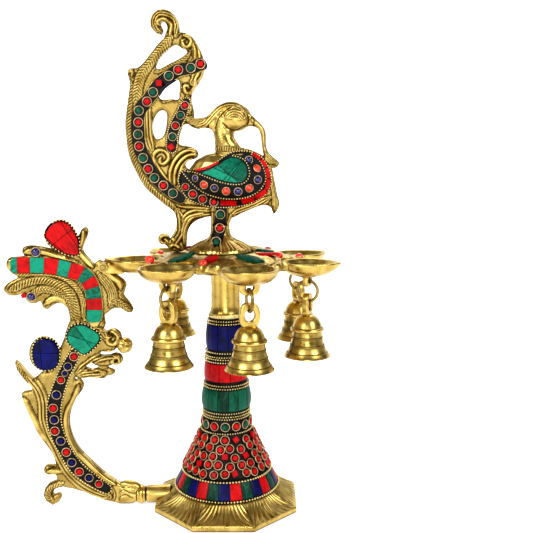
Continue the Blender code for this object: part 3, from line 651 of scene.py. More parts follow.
def inside_outline(flat, outline):
    """Which flat points lie inside a closed outline."""
    found = np.zeros(len(flat), bool)
    rows = np.asarray(outline, float)
    for a, b in zip(rows, np.roll(rows, -1, axis=0)):
        spans = (a[1] > flat[:, 1]) != (b[1] > flat[:, 1])
        rise = b[1] - a[1] if b[1] != a[1] else 1e-9
        found ^= spans & (flat[:, 0] < (b[0] - a[0]) * (flat[:, 1] - a[1]) / rise + a[0])
    return found


def relief_height(flat, relief):
    """Height of the relief over each flat point. A stroke lies over the ones before it."""
    height = np.zeros(len(flat))
    weight = np.zeros(len(flat))
    for kind, half, rise, line in relief:
        along, across, total = nearest_on_line(flat, spline(line))
        taper = np.clip(np.minimum(along, total - along) / (half * 1.2), 0.25, 1) ** 0.5
        t = across / (half * taper)
        inside = np.abs(t) < 1
        crown = np.sqrt(np.clip(1 - t ** 2, 0, 1))
        barbs = along / 1.9 - 1.3 * np.abs(t)
        shape = {
            "ridge": lambda: crown,
            "rope": lambda: crown * (0.6 + 0.4 * np.cos(2 * np.pi * (along / 1.9 + 0.75 * t))),
            "ribs": lambda: 0.15 + 0.85 * (0.35 + 0.65 * crown) * (0.5 + 0.5 * np.cos(2 * np.pi * 1.5 * t)),
            "fine": lambda: 0.15 + 0.85 * (0.35 + 0.65 * crown) * (0.5 + 0.5 * np.cos(2 * np.pi * 2.5 * t)),
            "feather": lambda: ((0.35 + 0.65 * crown) * (0.6 + 0.4 * np.cos(2 * np.pi * barbs))
                                + 0.35 * (np.abs(t) < 0.18)),
            "comb": lambda: crown * (0.5 + 0.5 * np.cos(2 * np.pi * along / 1.5)),
        }
        if kind == "groove":
            height -= rise * np.exp(-4 * t ** 2) * (np.abs(t) < 1.6)
            continue
        height = np.where(inside, rise * shape[kind](), height)
        weight = np.where(inside, 1, weight)
    return height, weight


def mosaic(name, casting, outlines, cuts, colour, side, proud=0.55, joint=0.16, grid=1.6):
    """Cut outlines into slips along straight lines, and lay them on the casting with dark joints.

    cuts are ((x, z), (dx, dz)) lines.
    """
    rng = np.random.default_rng(RNG_SEED)
    sheet = bmesh.new()
    for outline in outlines:
        sheet.faces.new([sheet.verts.new((x, 0, z)) for x, z in outline])
    for (x, z), (dx, dz) in cuts:
        bmesh.ops.bisect_plane(sheet, geom=sheet.verts[:] + sheet.edges[:] + sheet.faces[:],
                               plane_co=(x, 0, z), plane_no=(dz, 0, -dx))
    bmesh.ops.split_edges(sheet, edges=sheet.edges[:])
    slip = sheet.verts.layers.float.new("slip")
    for face in sheet.faces:
        tone = rng.uniform(-0.5, 0.5)
        for v in face.verts:
            v[slip] = tone
    rim = bmesh.ops.inset_individual(sheet, faces=sheet.faces[:], thickness=joint)["faces"]
    bmesh.ops.delete(sheet, geom=rim, context="FACES")
    xs = [v.co.x for v in sheet.verts]
    zs = [v.co.z for v in sheet.verts]
    for axis, low, high in ((0, min(xs), max(xs)), (2, min(zs), max(zs))):
        place = low + grid
        while place < high:
            co, no = [0, 0, 0], [0, 0, 0]
            co[axis], no[axis] = place, 1
            bmesh.ops.bisect_plane(sheet, geom=sheet.verts[:] + sheet.edges[:] + sheet.faces[:],
                                   plane_co=co, plane_no=no)
            place += grid
    bmesh.ops.triangulate(sheet, faces=sheet.faces)
    sign = casting.front * side
    for v in sheet.verts:
        position, _ = casting.drop_on(v.co.x, v.co.z, side)
        v.co.y = position.y + sign * proud
    grown = bmesh.ops.extrude_face_region(sheet, geom=sheet.faces[:])
    top = [v for v in grown["geom"] if isinstance(v, bmesh.types.BMVert)]
    bmesh.ops.translate(sheet, vec=(0, -sign * (proud + 0.5), 0), verts=top)
    bmesh.ops.recalc_face_normals(sheet, faces=sheet.faces)
    bmesh.ops.scale(sheet, vec=(MM, MM, MM), verts=sheet.verts)
    mesh = bpy.data.meshes.new(name)
    sheet.to_mesh(mesh)
    sheet.free()
    piece = bpy.data.objects.new(name, mesh)
    bpy.context.collection.objects.link(piece)
    smooth(piece, 35)
    casting.carry(piece)
    return place_piece(piece, colour)


def lac_bed(name, casting, outline, side, proud=0.25):
    return mosaic(name, casting, [outline], [], "lac", side, proud, joint=0.02, grid=1.8)


def slip_outlines(line, marks):
    """Outlines of the slips of a strip: (x, z, half width) points along it, cut at each marked point."""
    rows = spline(line, steps=5)
    lengths = np.r_[0, np.cumsum(np.hypot(*np.diff(rows[:, :2], axis=0).T))]
    along, _, _ = nearest_on_line(np.array(marks, float).reshape(-1, 2), rows[:, :2])
    ends = [0.0, *sorted(along), lengths[-1]]
    direction = np.gradient(rows[:, :2], axis=0)
    direction /= np.linalg.norm(direction, axis=1)[:, None]
    outlines = []
    for start, stop in zip(ends, ends[1:]):
        places = np.linspace(start, stop, max(int((stop - start) / 1.2), 2) + 1)
        x, z, half, dx, dz = (np.interp(places, lengths, column)
                              for column in (*rows.T, *direction.T))
        left = list(zip(x - dz * half, z + dx * half))
        right = list(zip(x + dz * half, z - dx * half))
        outlines.append(left + right[::-1])
    return outlines


def band_outline(line, half):
    """The outline of a strip with rounded ends round a line. half may vary: give (x, z, half) points."""
    rows = spline([tuple(p) + ((half,) if len(p) == 2 else ()) for p in line], steps=3)
    along = np.gradient(rows[:, :2], axis=0)
    along /= np.linalg.norm(along, axis=1)[:, None]
    normal = np.stack([-along[:, 1], along[:, 0]], axis=1)
    left = rows[:, :2] + normal * rows[:, 2:]
    right = rows[:, :2] - normal * rows[:, 2:]
    ends = []
    for row, direction in ((rows[-1], along[-1]), (rows[0], -along[0])):
        centre, reach = row[:2], row[2]
        side = np.array([-direction[1], direction[0]])
        ends.append([centre + reach * (side * math.cos(a) + direction * math.sin(a))
                     for a in np.linspace(0, math.pi, 8)[1:-1]])
    return [tuple(p) for p in [*left, *ends[0], *right[::-1], *ends[1]]]


def world_spots(casting, spots):
    """Take (position, normal, ...) spots from the casting's plane to the world."""
    spin = casting.to_world.to_3x3()
    return [(casting.to_world @ s[0], spin @ s[1], *s[2:]) for s in spots]


# ---------------------------------------------------------------- foot and column

FRONT = -90.0  # degrees: azimuth of the side shown first
ZONES = {  # stonework round the column: heights, radii, bulge
    "tricolour_ring": (14.6, 24.0, 34.0, 29.4, 0.3),
    "red_stone_sleeve": (25.8, 51.0, 28.9, 17.0, -0.5),
    "bezel_stone_row": (53.0, 60.0, 15.9, 15.4, 0.0),
    "malachite_band": (66.5, 80.0, 15.8, 15.2, 0.9),
    "coral_band": (85.5, 97.0, 14.4, 14.0, 0.3),
    "lapis_band": (106.0, 122.0, 12.9, 12.5, 0.5),
}
BEAD = 0.61
BEAD_PITCH = 1.66


def zone_radius(name, z):
    low, high, wide, narrow, bulge = ZONES[name]
    t = (z - low) / (high - low)
    return wide + (narrow - wide) * t + bulge * math.sin(math.pi * min(max(t, 0), 1)) * (1.3 - 0.6 * t)


def ring_spots(radius, z, pitch=BEAD_PITCH, phase=0.0):
    count = int(round(2 * math.pi * radius / pitch))
    found = []
    for k in range(count):
        a = 2 * math.pi * (k + phase) / count
        out = Vector((math.cos(a), math.sin(a), 0))
        found.append((out * radius + Vector((0, 0, z)), out))
    return found


ROD_HOLE = 3.6
FOOT_RADIUS, FOOT_TOP_RADIUS = 50.0, 33.5
FOOT_EDGE, FOOT_TOP = 4.0, 13.0  # heights
FOOT_SLOPE = [(49.6, 4.1), (48.5, 4.6), (46.5, 5.4), (44, 6.4), (41.5, 7.6), (39, 9.0), (37, 10.4),
              (35, 12.1)]
FLUTES_PER_HALF_LEAF = 4.0
FOOT_SOCKET = [(2.4, 38), (5.6, 38), (5.7, 51.5), (5.4, 53.4), (4.6, 54), (2.4, 54)]  # radius, reach
FERRULE = [(2.4, 54.3), (5.0, 54.3), (5.6, 54.9), (5.3, 55.7), (6.0, 56.3), (6.3, 57.2), (6.0, 58.1),
           (5.3, 58.6), (5.5, 59.4), (5.0, 60), (2.4, 60)]
SOCKET_Z = 6.3


def build_foot():
    """The octagonal foot, its slope cast as leaves that fan out to the rim."""
    radius, top_radius, top, edge = FOOT_RADIUS, FOOT_TOP_RADIUS, FOOT_TOP, FOOT_EDGE
    profile = [(ROD_HOLE, 0), (radius - 1.2, 0), (radius - 0.3, 0.35), (radius, 1.2), (radius, 3.6)]
    profile += [tuple(p) for p in spline(FOOT_SLOPE, steps=4)]
    profile += [(top_radius, top), (32, top), (30, top), (ROD_HOLE, top)]
    foot = turn("foot_casting", profile, 720)
    points = get_points(foot)
    reach = np.hypot(points[:, 0], points[:, 1])
    angle = np.arctan2(points[:, 1], points[:, 0])
    sector = math.radians(45)
    turned = np.mod(angle + sector / 2, sector) - sector / 2
    flat = math.cos(sector / 2) / np.cos(turned)
    round_share = np.clip((points[:, 2] - edge) / (top - edge), 0, 1)
    scale = np.where(reach > top_radius, flat * (1 - round_share) + round_share, 1.0)
    points[:, :2] *= scale[:, None]
    share = np.clip((radius - reach) / (radius - top_radius), 0, 1)
    leaf = (np.mod(angle / sector + 0.5, 1) - 0.5) * 2
    fan = leaf / (0.62 + 0.38 * (1 - share))
    flutes = FLUTES_PER_HALF_LEAF * np.abs(fan) * (1 + 0.12 * share)
    lines = 1 - np.abs(np.sin(math.pi * flutes)) ** 0.75
    seam = np.exp(-((np.abs(leaf) - 1) / 0.05) ** 2)
    tips = np.clip(1 - np.abs(leaf) ** 2 * 0.5, 0, 1)
    above_edge = np.clip((points[:, 2] - 3.8) / 2.0, 0, 1)
    on_slope = above_edge * np.clip((reach - top_radius - 0.6) / 1.5, 0, 1)
    lift = on_slope * (0.3 - 1.5 * lines - 0.9 * seam + 0.9 * (tips - 0.6))
    points[:, 2] += lift * 0.8
    rim = np.clip((points[:, 2] - 1.0) / 2.0, 0, 1) * (reach > radius - 0.5)
    points[:, :2] *= (1 - 0.006 * rim * lines)[:, None]
    set_points(foot, points)
    # Shade painted into the flutes and the seams between leaves, through the crevice mask.
    layer = foot.data.attributes.new("crevice", "FLOAT", "POINT")
    layer.data.foreach_set("value", on_slope * np.clip(lines ** 2 + seam, 0, 1) * 0.8)
    foot.data.shade_smooth()
    place_piece(foot, "relief_brass", replaces=["foot"])
    here = Matrix.Rotation(math.radians(HANDLE_ANGLE), 4, "Z")
    tilt = here @ Matrix.Translation((0, 0, SOCKET_Z * MM)) @ Matrix.Rotation(math.pi / 2, 4, "Y")
    socket = turn("foot_socket", FOOT_SOCKET, 48, True)
    socket.data.transform(tilt)
    smooth(socket, 40)
    place_piece(socket, "relief_brass")
    ferrule = turn("handle_ferrule_ring", FERRULE, 48, True)
    ferrule.data.transform(tilt)
    smooth(ferrule, 60)
    place_piece(ferrule, "brass", replaces=["handle_ferrule"])


TILE_JOINT = 0.2  # half of the dark joint between two slips
TILE_STEPS = 9  # points across and up each slip
TILE_THICK = 1.5
TILE_EDGE_DROP = 0.22  # how far a slip's edge is rounded back


def band_tiles(name, zone, count, phase_tile, colours, seed=RNG_SEED):
    """Sawn slips of stone round the column: one object for each colour."""
    low, high = ZONES[zone][0] + 0.15, ZONES[zone][1] - 0.15
    rng = np.random.default_rng(seed)
    step = 2 * math.pi / count
    cuts = math.radians(FRONT) + step * (np.arange(count + 1) + phase_tile)
    cuts[1:-1] += rng.uniform(-0.08, 0.08, count - 1) * step if len(colours) == 1 else 0
    heights = np.linspace(low, high, TILE_STEPS)
    made = {colour: ([], [], []) for colour in colours}
    for tile in range(count):
        points, faces, slips = made[colours[tile % len(colours)]]
        tone = rng.uniform(-0.5, 0.5)
        lean = rng.uniform(-0.12, 0.12)
        start = len(points)
        columns = TILE_STEPS
        for layer in (0, 1):
            for v, z in enumerate(heights):
                radius = zone_radius(zone, z)
                trim = TILE_JOINT / radius
                for u in range(columns):
                    a = cuts[tile] + trim + (cuts[tile + 1] - cuts[tile] - 2 * trim) * u / (columns - 1)
                    rim = u in (0, columns - 1) or v in (0, len(heights) - 1)
                    inset = TILE_THICK if layer else (TILE_EDGE_DROP if rim else 0.0)
                    r = radius - inset + lean * (u / (columns - 1) - 0.5)
                    points.append((r * math.cos(a), r * math.sin(a), z))
                    slips.append(tone)
        size = columns * len(heights)
        for v in range(len(heights) - 1):
            for u in range(columns - 1):
                a = start + v * columns + u
                faces.append((a, a + 1, a + columns + 1, a + columns))
                faces.append((a + size, a + size + columns, a + size + columns + 1, a + size + 1))
        edge = ([start + u for u in range(columns)]
                + [start + v * columns + columns - 1 for v in range(1, len(heights))]
                + [start + (len(heights) - 1) * columns + u for u in range(columns - 2, -1, -1)]
                + [start + v * columns for v in range(len(heights) - 2, 0, -1)])
        for a, b in zip(edge, edge[1:] + edge[:1]):
            faces.append((b, a, a + size, b + size))
    for colour, (points, faces, slips) in made.items():
        piece = from_points(f"{name}_{colour}" if len(colours) > 1 else name, points, faces)
        tag_slips(piece, slips)
        smooth(piece, 28)
        place_piece(piece, colour)
    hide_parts(zone)


def tag_slips(piece, slips):
    """Store each slip's own tone on its points, for the stone material."""
    layer = piece.data.attributes.new("slip", "FLOAT", "POINT")
    layer.data.foreach_set("value", slips)


def cone_spot(zone, z, angle):
    radius = zone_radius(zone, z)
    slope = (zone_radius(zone, z - 0.5) - zone_radius(zone, z + 0.5))
    out = Vector((math.cos(angle), math.sin(angle), slope)).normalized()
    return Vector((radius * math.cos(angle), radius * math.sin(angle), z)), out


# Black lac ground, below and above the sleeve of red stones: (radius, height).
GROUND_BELOW = [(ROD_HOLE, 13.3), (34.2, 13.3), (34.4, 14.4), (33.6, 14.6), (29.0, 24.2), (29.2, 25.6)]
GROUND_ABOVE = [(16.4, 51.4), (16.4, 52.8), (15.6, 53), (15.1, 60), (14.8, 60.4), (14.9, 65.9),
                (14.4, 66.6), (14.2, 80), (14.0, 80.6), (13.8, 84.8), (13.2, 85.6), (12.8, 97), (12.6, 97.8),
                (12.3, 105.4), (11.8, 106), (11.4, 122), (11.0, 122.4), (10.9, 126), (ROD_HOLE, 126)]
CONE_ROWS = (28.9, 33.7, 38.5, 43.3, 48.2)  # heights of the rows of red stones
CONE_PITCH = 6.75
BEZEL_ROW_Z, BEZEL_ROW_COUNT = 56.6, 14
# Bead strings: the node each stands for, and the (radius, height) of its rings.
BEAD_STRINGS = (
    ("bead_string_1", [(34.6, 14.0), (29.6, 24.9)]),
    ("bead_string_2", [(16.9, 52.1)]),
    ("bead_string_3", [(15.5, 61.2), (15.5, 62.9), (15.4, 64.9)]),
    ("bead_string_4", [(14.9, 81.2), (14.7, 83.1)]),
    ("bead_string_5", [(13.9, 98.3), (13.5, 100.2), (13.4, 101.7), (13.3, 104.4)]),
    ("bead_string_6", [(12.1, 123.0), (11.7, 124.8)]),
)
NECK_TUBE = [(ROD_HOLE, 129.6), (10.2, 129.6), (9.7, 131), (9.4, 134), (9.3, 146), (9.6, 156), (10.2, 159.6),
             (ROD_HOLE, 159.6)]
NECK_COLLAR = [(ROD_HOLE, 126.3), (10.6, 126.3), (11.3, 126.9), (11.3, 128.0), (10.8, 128.6), (10.3, 129.3),
               (ROD_HOLE, 129.3)]
COLLAR_RIBS = 48


def build_column():
    """Black lac ground, slips and bezelled stones in bands, and strings of beads between them."""
    sleeve = [(zone_radius("red_stone_sleeve", z) - 0.35, z) for z in np.linspace(25.9, 51.2, 12)]
    core = GROUND_BELOW + sleeve + GROUND_ABOVE
    ground = turn("column_lac_ground", core, 128)
    smooth(ground, 40)
    place_piece(ground, "lac", replaces=["column", "red_stone_sleeve", "bezel_stone_row"])
    band_tiles("tricolour_slips", "tricolour_ring", 27, -0.5, ["lapis", "coral", "malachite"])
    band_tiles("malachite_slips", "malachite_band", 14, 0.32, ["malachite"], seed=3)
    band_tiles("coral_slips", "coral_band", 12, 0.45, ["coral"], seed=5)
    band_tiles("lapis_slips", "lapis_band", 11, 0.3, ["lapis"], seed=11)

    rng = np.random.default_rng(RNG_SEED)
    stones, loose = [], []
    for row, z in enumerate(CONE_ROWS):
        radius = zone_radius("red_stone_sleeve", z)
        count = int(2 * math.pi * radius / CONE_PITCH)
        for k in range(count):
            angle = math.radians(FRONT) + 2 * math.pi * (k + 0.5 * (row % 2)) / count
            angle += rng.uniform(-0.035, 0.035)
            position, normal = cone_spot("red_stone_sleeve", z + rng.uniform(-0.6, 0.6), angle)
            if rng.uniform() < 0.08:
                loose.append((position, normal, 2.4))
            else:
                stones.append((position, normal, rng.uniform(2.95, 3.2)))
    set_stones("cone_coral_stones", stones, "coral", sides=4, seed=2)
    set_stones("cone_coral_chips", loose, "coral", ring=False, sides=4, seed=4)
    reds, greens = [], []
    for k in range(BEZEL_ROW_COUNT):
        angle = math.radians(FRONT) + 2 * math.pi * k / BEZEL_ROW_COUNT
        position, normal = cone_spot("bezel_stone_row", BEZEL_ROW_Z, angle)
        (greens if k % 2 == 0 else reds).append((position, normal, 3.15))
    set_stones("row_coral_stones", reds, "coral", sides=4, seed=8)
    set_stones("row_malachite_stones", greens, "malachite", sides=7, seed=9)

    for count, (node, rings) in enumerate(BEAD_STRINGS, 1):
        bead = BEAD * 1.2 if count == 1 else BEAD * 0.92
        spots = [spot for row, (r, z) in enumerate(rings)
                 for spot in ring_spots(r, z, max(bead / BEAD, 1) * BEAD_PITCH, row / 2)]
        bead_string(f"beads_column_{count}", spots, bead, [node])

    tube = turn("neck_tube_polished", NECK_TUBE, 96)
    smooth(tube, 35)
    place_piece(tube, "brass", replaces=["neck_tube"])
    collar = turn("neck_collar_ribbed", NECK_COLLAR, 240)
    points = get_points(collar)
    angle = np.arctan2(points[:, 1], points[:, 0])
    ribs = (np.hypot(points[:, 0], points[:, 1]) > 11) * (np.cos(angle * COLLAR_RIBS) > 0)
    points[:, :2] *= (1 - 0.035 * ribs)[:, None]
    set_points(collar, points)
    smooth(collar, 40)
    place_piece(collar, "bead_brass", replaces=["neck_collar"])


def build_fasteners():
    """The tie rod, its nut and the handle's stud, which hardly show, and the handle's bolt and nut."""
    for node in ("tie_rod", "tray_nut", "handle_stud", "handle_bolt", "handle_nut"):
        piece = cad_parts[node]
        piece.data.materials.clear()
        piece.data.materials.append(finish("old_brass"))


# ---------------------------------------------------------------- tray

CUPS = 7
CUP_CIRCLE = 56.0
CUP_RADIUS = 17.0
FIRST_CUP = HANDLE_ANGLE
TRAY_TOP = 165.0
BELL_CUPS = (1, 2, 3, 4, 6)
GREEN_PETALS = [(226, 36.5, 12, 9.2, 3.6), (298, 35.5, -8, 9.0, 4.0), (4, 25, -30, 7.4, 2.6),
                (118, 34, 30, 9, 3.6)]  # azimuth, radius, heading, half length, half width
RED_PETALS = [(259, 34.5, 30, 4.8, 3.4), (330, 31, -30, 9.0, 2.8), (88, 34, 88, 7.6, 2.8),
              (150, 34, 150, 7.6, 2.8)]
TRAY_CABOCHONS = [(207.5, 51), (254, 40.5), (341, 36.2), (4.5, 48), (56, 49), (107.3, 48), (156, 49)]


def cup_place(index, offset=(0, 0, 0)):
    angle = math.radians(FIRST_CUP + 360 / CUPS * index)
    return Matrix.Rotation(angle, 4, "Z") @ Matrix.Translation(Vector(offset) * MM)


# A cup: (radius, height from its rim) outside and inside, and how far its spout reaches.
BOWL_OUTSIDE = [(0.01, -9), (6, -9), (11, -7.9), (15, -5.2), (17.0, -1.8), (17.3, -0.5)]
BOWL_INSIDE = [(16.6, 0.15), (15.3, -0.6), (12.5, -4.2), (8, -6.7), (0.01, -7.3)]
SPOUT_REACH, SPOUT_RISE, SPOUT_SPREAD = 4.5, 0.5, 50
# The web under a cup, half of it: (sideways, height), and the eye in it.
LUG_SIDE = [(9.5, 158.2), (7.2, 156.6), (6.2, 154.2), (5.9, 152), (4.6, 150.2), (2.2, 149.4), (0, 149.2)]
LUG_EYE = ((0, 154.0), 2.3)
# The ear of the first cup that the handle is bolted to: (reach, height).
EAR = [(62, 158.5), (72, 161.5), (76.5, 163.6), (81, 162.5), (81.5, 159.5), (79, 157), (73, 156),
       (66, 155.5)]
EAR_EYE = ((77, 160.5), 1.8)


def bowl(name):
    """A cup with a pointed wick spout, in its own frame, rim at z 0."""
    outside, inside = (spline(line, steps=4) for line in (BOWL_OUTSIDE, BOWL_INSIDE))
    piece = turn(name, [tuple(p) for p in outside] + [tuple(p) for p in inside], 112)
    points = get_points(piece)
    reach = np.hypot(points[:, 0], points[:, 1])
    away = np.abs(np.arctan2(points[:, 1], points[:, 0]))
    share = np.clip(1 + points[:, 2] / 8, 0, 1) * np.clip(reach / 12, 0, 1)
    point = np.clip(1 - away / math.radians(SPOUT_SPREAD), 0, 1) ** 1.5
    scale = 1 + SPOUT_REACH * share * point / np.maximum(reach, 1)
    points[:, :2] *= scale[:, None]
    points[:, 2] += SPOUT_RISE * point * share
    set_points(piece, points)
    return piece


def extrude_outline(name, outline, holes, half):
    """A flat cast shape in the YZ plane of the lamp's radius, from its outline and holes."""
    rings = [list(map(tuple, outline))] + [list(map(tuple, hole)) for hole in holes]
    points, faces = [], []
    for ring in rings:
        faces.append(list(range(len(points), len(points) + len(ring))))
        area = sum(a[0] * b[1] - b[0] * a[1] for a, b in zip(ring, ring[1:] + ring[:1]))
        points += [Vector(p) for p in (ring if area > 0 else ring[::-1])]
    spots, _, cells, _, _, owners = delaunay_2d_cdt(points, [], faces, 1, 0.001)
    keep = [cell for cell, owner in zip(cells, owners) if owner and max(owner) == 0]
    piece = from_points(name, [(0, p.x, p.y) for p in spots], keep)
    add_modifier(piece, "SOLIDIFY", thickness=2 * half * MM, offset=0)
    outwards(piece)
    return piece


def melt(piece, voxel, rounds):
    """Blend a piece's parts as one casting."""
    add_modifier(piece, "REMESH", mode="VOXEL", voxel_size=voxel * MM)
    add_modifier(piece, "SMOOTH", factor=0.5, iterations=rounds)
    piece.data.shade_smooth()


def lug(name):
    """The web below a cup, flared into the bowl and pierced for a bell's ring."""
    outline = LUG_SIDE + [(-y, z) for y, z in LUG_SIDE[-2::-1]]
    piece = extrude_outline(name, outline, [circle(*LUG_EYE, 20)], 1.6)
    piece.data.transform(Matrix.Translation((0, 0, -TRAY_TOP * MM)))
    return piece


def build_cups():
    for index in range(CUPS):
        parts = [bowl(f"cup_{index + 1}_casting")]
        if index in BELL_CUPS:
            parts.append(lug("lug"))
        if index == 0:
            ear = extrude_outline("ear", EAR, [circle(*EAR_EYE, 16)], 1.4)
            ear.data.transform(Matrix.Translation((-CUP_CIRCLE * MM, 5.2 * MM, -TRAY_TOP * MM))
                               @ Matrix.Rotation(-math.pi / 2, 4, "Z"))
            parts.append(ear)
        cup = join(f"cup_{index + 1}_casting", parts)
        melt(cup, 0.55, 5)
        cup.data.transform(cup_place(index, (CUP_CIRCLE, 0, TRAY_TOP)))
        place_piece(cup, "brass", replaces=[f"cup_{index + 1}"])


# The tray plate: (radius, height) round its underside and rim, and over its top.
PLATE_UNDER = [(ROD_HOLE, 160), (40, 160), (47.5, 160.2), (49.6, 161.3), (50.3, 163), (50, 164.6),
               (48.6, 165.4)]
PLATE_TOP = [(46, 165.3), (43, 165.5), (40, 166.0), (37.5, 167.0), (34.5, 168.2), (31, 168.5), (28, 168.2),
             (25, 168.6), (22, 168.7)]
CABOCHON = 2.7


def build_tray():
    """The plate between the cups: leaf relief on its rim, petals of stone and glass cabochons on top."""
    profile = PLATE_UNDER + [tuple(p) for p in spline(PLATE_TOP, steps=4)] + [(ROD_HOLE, PLATE_TOP[-1][1])]
    plate = turn("tray_plate_casting", profile, 336)
    points = get_points(plate)
    reach = np.hypot(points[:, 0], points[:, 1])
    angle = np.arctan2(points[:, 1], points[:, 0]) - math.radians(FIRST_CUP)
    gap = (np.mod(angle * CUPS / (2 * math.pi), 1) - 0.5) * 2
    zone = np.clip((reach - 38) / 5, 0, 1) * (points[:, 2] > 160.1)
    curl = np.cos(reach * 1.7 + 9 * np.abs(gap)) * np.cos(gap * 14)
    scroll = np.cos(reach * 0.9 + 2.2 * np.cos(gap * 9)) * np.cos(gap * 12 + reach * 0.35)
    top = np.clip((points[:, 2] - 165.2) * 4, 0, 1) * np.clip((reach - 20) / 3, 0, 1)
    points[:, 2] += zone * 0.55 * curl * np.clip((points[:, 2] - 161) / 3, 0, 1)
    points[:, 2] += 0.25 * top * scroll
    points[:, :2] *= (1 + 0.018 * zone * (np.cos(gap * 16) + 0.5 * curl))[:, None]
    set_points(plate, points)
    # Shade painted into the troughs of the scrolls and curls, through the crevice mask.
    layer = plate.data.attributes.new("crevice", "FLOAT", "POINT")
    low = np.clip(-scroll, 0, 1) * top * 0.5 + np.clip(-curl, 0, 1) * zone * 0.5
    layer.data.foreach_set("value", low)
    inside_cup = CUP_RADIUS - 0.2
    cutter = turn("seat", [(0.01, -15), (inside_cup, -15), (inside_cup, 15), (0.01, 15)], 64)
    seats = [cutter]
    for index in range(1, CUPS):
        seats.append(cutter.copy())
        seats[-1].data = cutter.data.copy()
        bpy.context.collection.objects.link(seats[-1])
    for index, seat in enumerate(seats):
        seat.data.transform(cup_place(index, (CUP_CIRCLE, 0, TRAY_TOP)))
    cutter = join("seat", seats)
    add_modifier(plate, "BOOLEAN", object=cutter, operation="DIFFERENCE", solver="EXACT", use_self=True)
    drop(cutter)
    smooth(plate, 40)
    place_piece(plate, "relief_brass", replaces=["tray_plate"])
    tree = BVHTree.FromObject(plate, bpy.context.evaluated_depsgraph_get())

    def on_tray(radius, degrees):
        angle = math.radians(degrees)
        start = Vector((radius * math.cos(angle), radius * math.sin(angle), 200)) * MM
        position, _, _, _ = tree.ray_cast(start, Vector((0, 0, -1)))
        return position / MM if position else start / MM - Vector((0, 0, 33))

    for name, colour, petals in (("tray_malachite_petals", "malachite", GREEN_PETALS),
                                 ("tray_coral_petals", "coral", RED_PETALS)):
        shape = petal_shape()
        piece = scatter(name, shape, [petal_place(on_tray, *petal) for petal in petals])
        drop(shape)
        smooth(piece, 30)
        place_piece(piece, colour)
    cabochons = [(on_tray(radius, degrees) - Vector((0, 0, 0.3)), Vector((0, 0, 1)), CABOCHON)
                 for degrees, radius in TRAY_CABOCHONS]
    set_stones("tray_glass_cabochons", cabochons, "red_glass", ring=False, domed=True, rise=0.0)


def petal_shape():
    """A lens-shaped slip of stone, half length 1 and half width 1, bevelled."""
    outline = [(math.sin(a), (1 - abs(math.sin(a)) ** 2.2) * math.copysign(1, math.cos(a)))
               for a in np.linspace(-math.pi / 2, 1.5 * math.pi, 29)[:-1]]
    piece = from_points("petal", [(x, y, 0) for x, y in outline] + [(x, y, 0.8) for x, y in outline]
                        + [(x * 0.9, y * 0.8, 1.15) for x, y in outline], [])
    count = len(outline)
    faces = []
    for low, high in ((0, count), (count, 2 * count)):
        for k in range(count):
            after = (k + 1) % count
            faces.append((low + k, low + after, high + after, high + k))
    faces += [tuple(range(count))[::-1], tuple(range(2 * count, 3 * count))]
    mesh = bpy.data.meshes.new("petal")
    mesh.from_pydata([v.co for v in piece.data.vertices], [], faces)
    piece.data = mesh
    outwards(piece)
    return piece


def petal_place(on_tray, degrees, radius, heading, half_length, half_width):
    """Lay a petal on the tray's slope, pointing along a heading."""
    inner, outer = on_tray(radius - 2.5, degrees), on_tray(radius + 2.5, degrees)
    across = Vector((-math.sin(math.radians(degrees)), math.cos(math.radians(degrees)), 0))
    up = (outer - inner).cross(across).normalized()
    along = Vector((math.cos(math.radians(heading)), math.sin(math.radians(heading)), 0))
    along = (along - up * along.dot(up)).normalized()
    middle = (inner + outer) / 2 + up * 0.15
    axes = Matrix((along * half_length, up.cross(along) * half_width, up * 1.3)).transposed().to_4x4()
    return Matrix.Translation(middle) @ axes


# ---------------------------------------------------------------- bells

RING_Z = 146.5
RING_RADIUS = 6.55
PIN_Z = 125.1
BELL_TOP = 131.5


# A bell: (radius, height from its crown) down its outside, up its inside, and its turned grooves.
BELL_OUTSIDE = [(0.02, 0.3), (2.2, 0.3), (3.6, -0.1), (5.6, -1.2), (7.3, -2.9), (8.5, -5.2), (9.1, -7.4),
                (9.2, -7.7), (10.2, -8.1), (10.6, -8.8), (10.4, -9.6), (9.4, -10.1), (9.1, -10.3),
                (9.1, -10.6), (9.3, -11.9), (9.45, -13.2), (9.3, -13.45), (9.85, -13.6), (9.95, -14.0),
                (9.6, -14.2), (9.9, -15.6), (10.3, -17.2), (10.5, -18.1), (10.35, -18.35), (11.0, -18.5),
                (11.1, -19.0), (10.7, -19.2), (11.7, -21.3), (12.5, -22.9), (12.35, -23.2), (13.1, -23.4),
                (13.9, -24.9), (14.6, -25.6), (14.7, -26.1), (14.2, -26.2)]
BELL_INSIDE = [(13.2, -26.0), (11.3, -22), (9.2, -18), (8.2, -13), (7.4, -9), (5, -4), (0.02, -2.4)]
BELL_GROOVES = (-7.7, -10.3, -13.45, -14.2, -18.35, -19.2, -23.2)
WIRE = 0.95
ARCH = RING_Z - RING_RADIUS + WIRE + 0.3 - BELL_TOP  # the loop's inside top, clear of the ring
LOOP_OUTER = [(-3.6, -1.2), (-5.4, 1.5), (-6.2, 5.5), (-5.6, 10), (-3.4, 13.2), (0, ARCH + 4),
              (3.4, 13.2), (5.6, 10), (6.2, 5.5), (5.4, 1.5), (3.6, -1.2)]
LOOP_HOLE = [(0, 2.6), (2.2, 3.6), (3.2, 6), (2.7, 8.4), (1.5, ARCH - 0.4), (0, ARCH), (-1.5, ARCH - 0.4),
             (-2.7, 8.4), (-3.2, 6), (-2.2, 3.6)]
PIN = [(0.02, -7.6), (0.7, -7.6), (0.7, 7.6), (0.02, 7.6)]
EYE_RADIUS, EYE_WIRE = 1.65, 0.55
BOB = [(0.02, -23.6), (1.4, -23.4), (3.0, -22.4), (4.0, -20.6), (3.8, -18.6), (2.4, -16.6), (1.1, -15),
       (0.75, -14), (0.75, -2.1), (0.02, -2.1)]


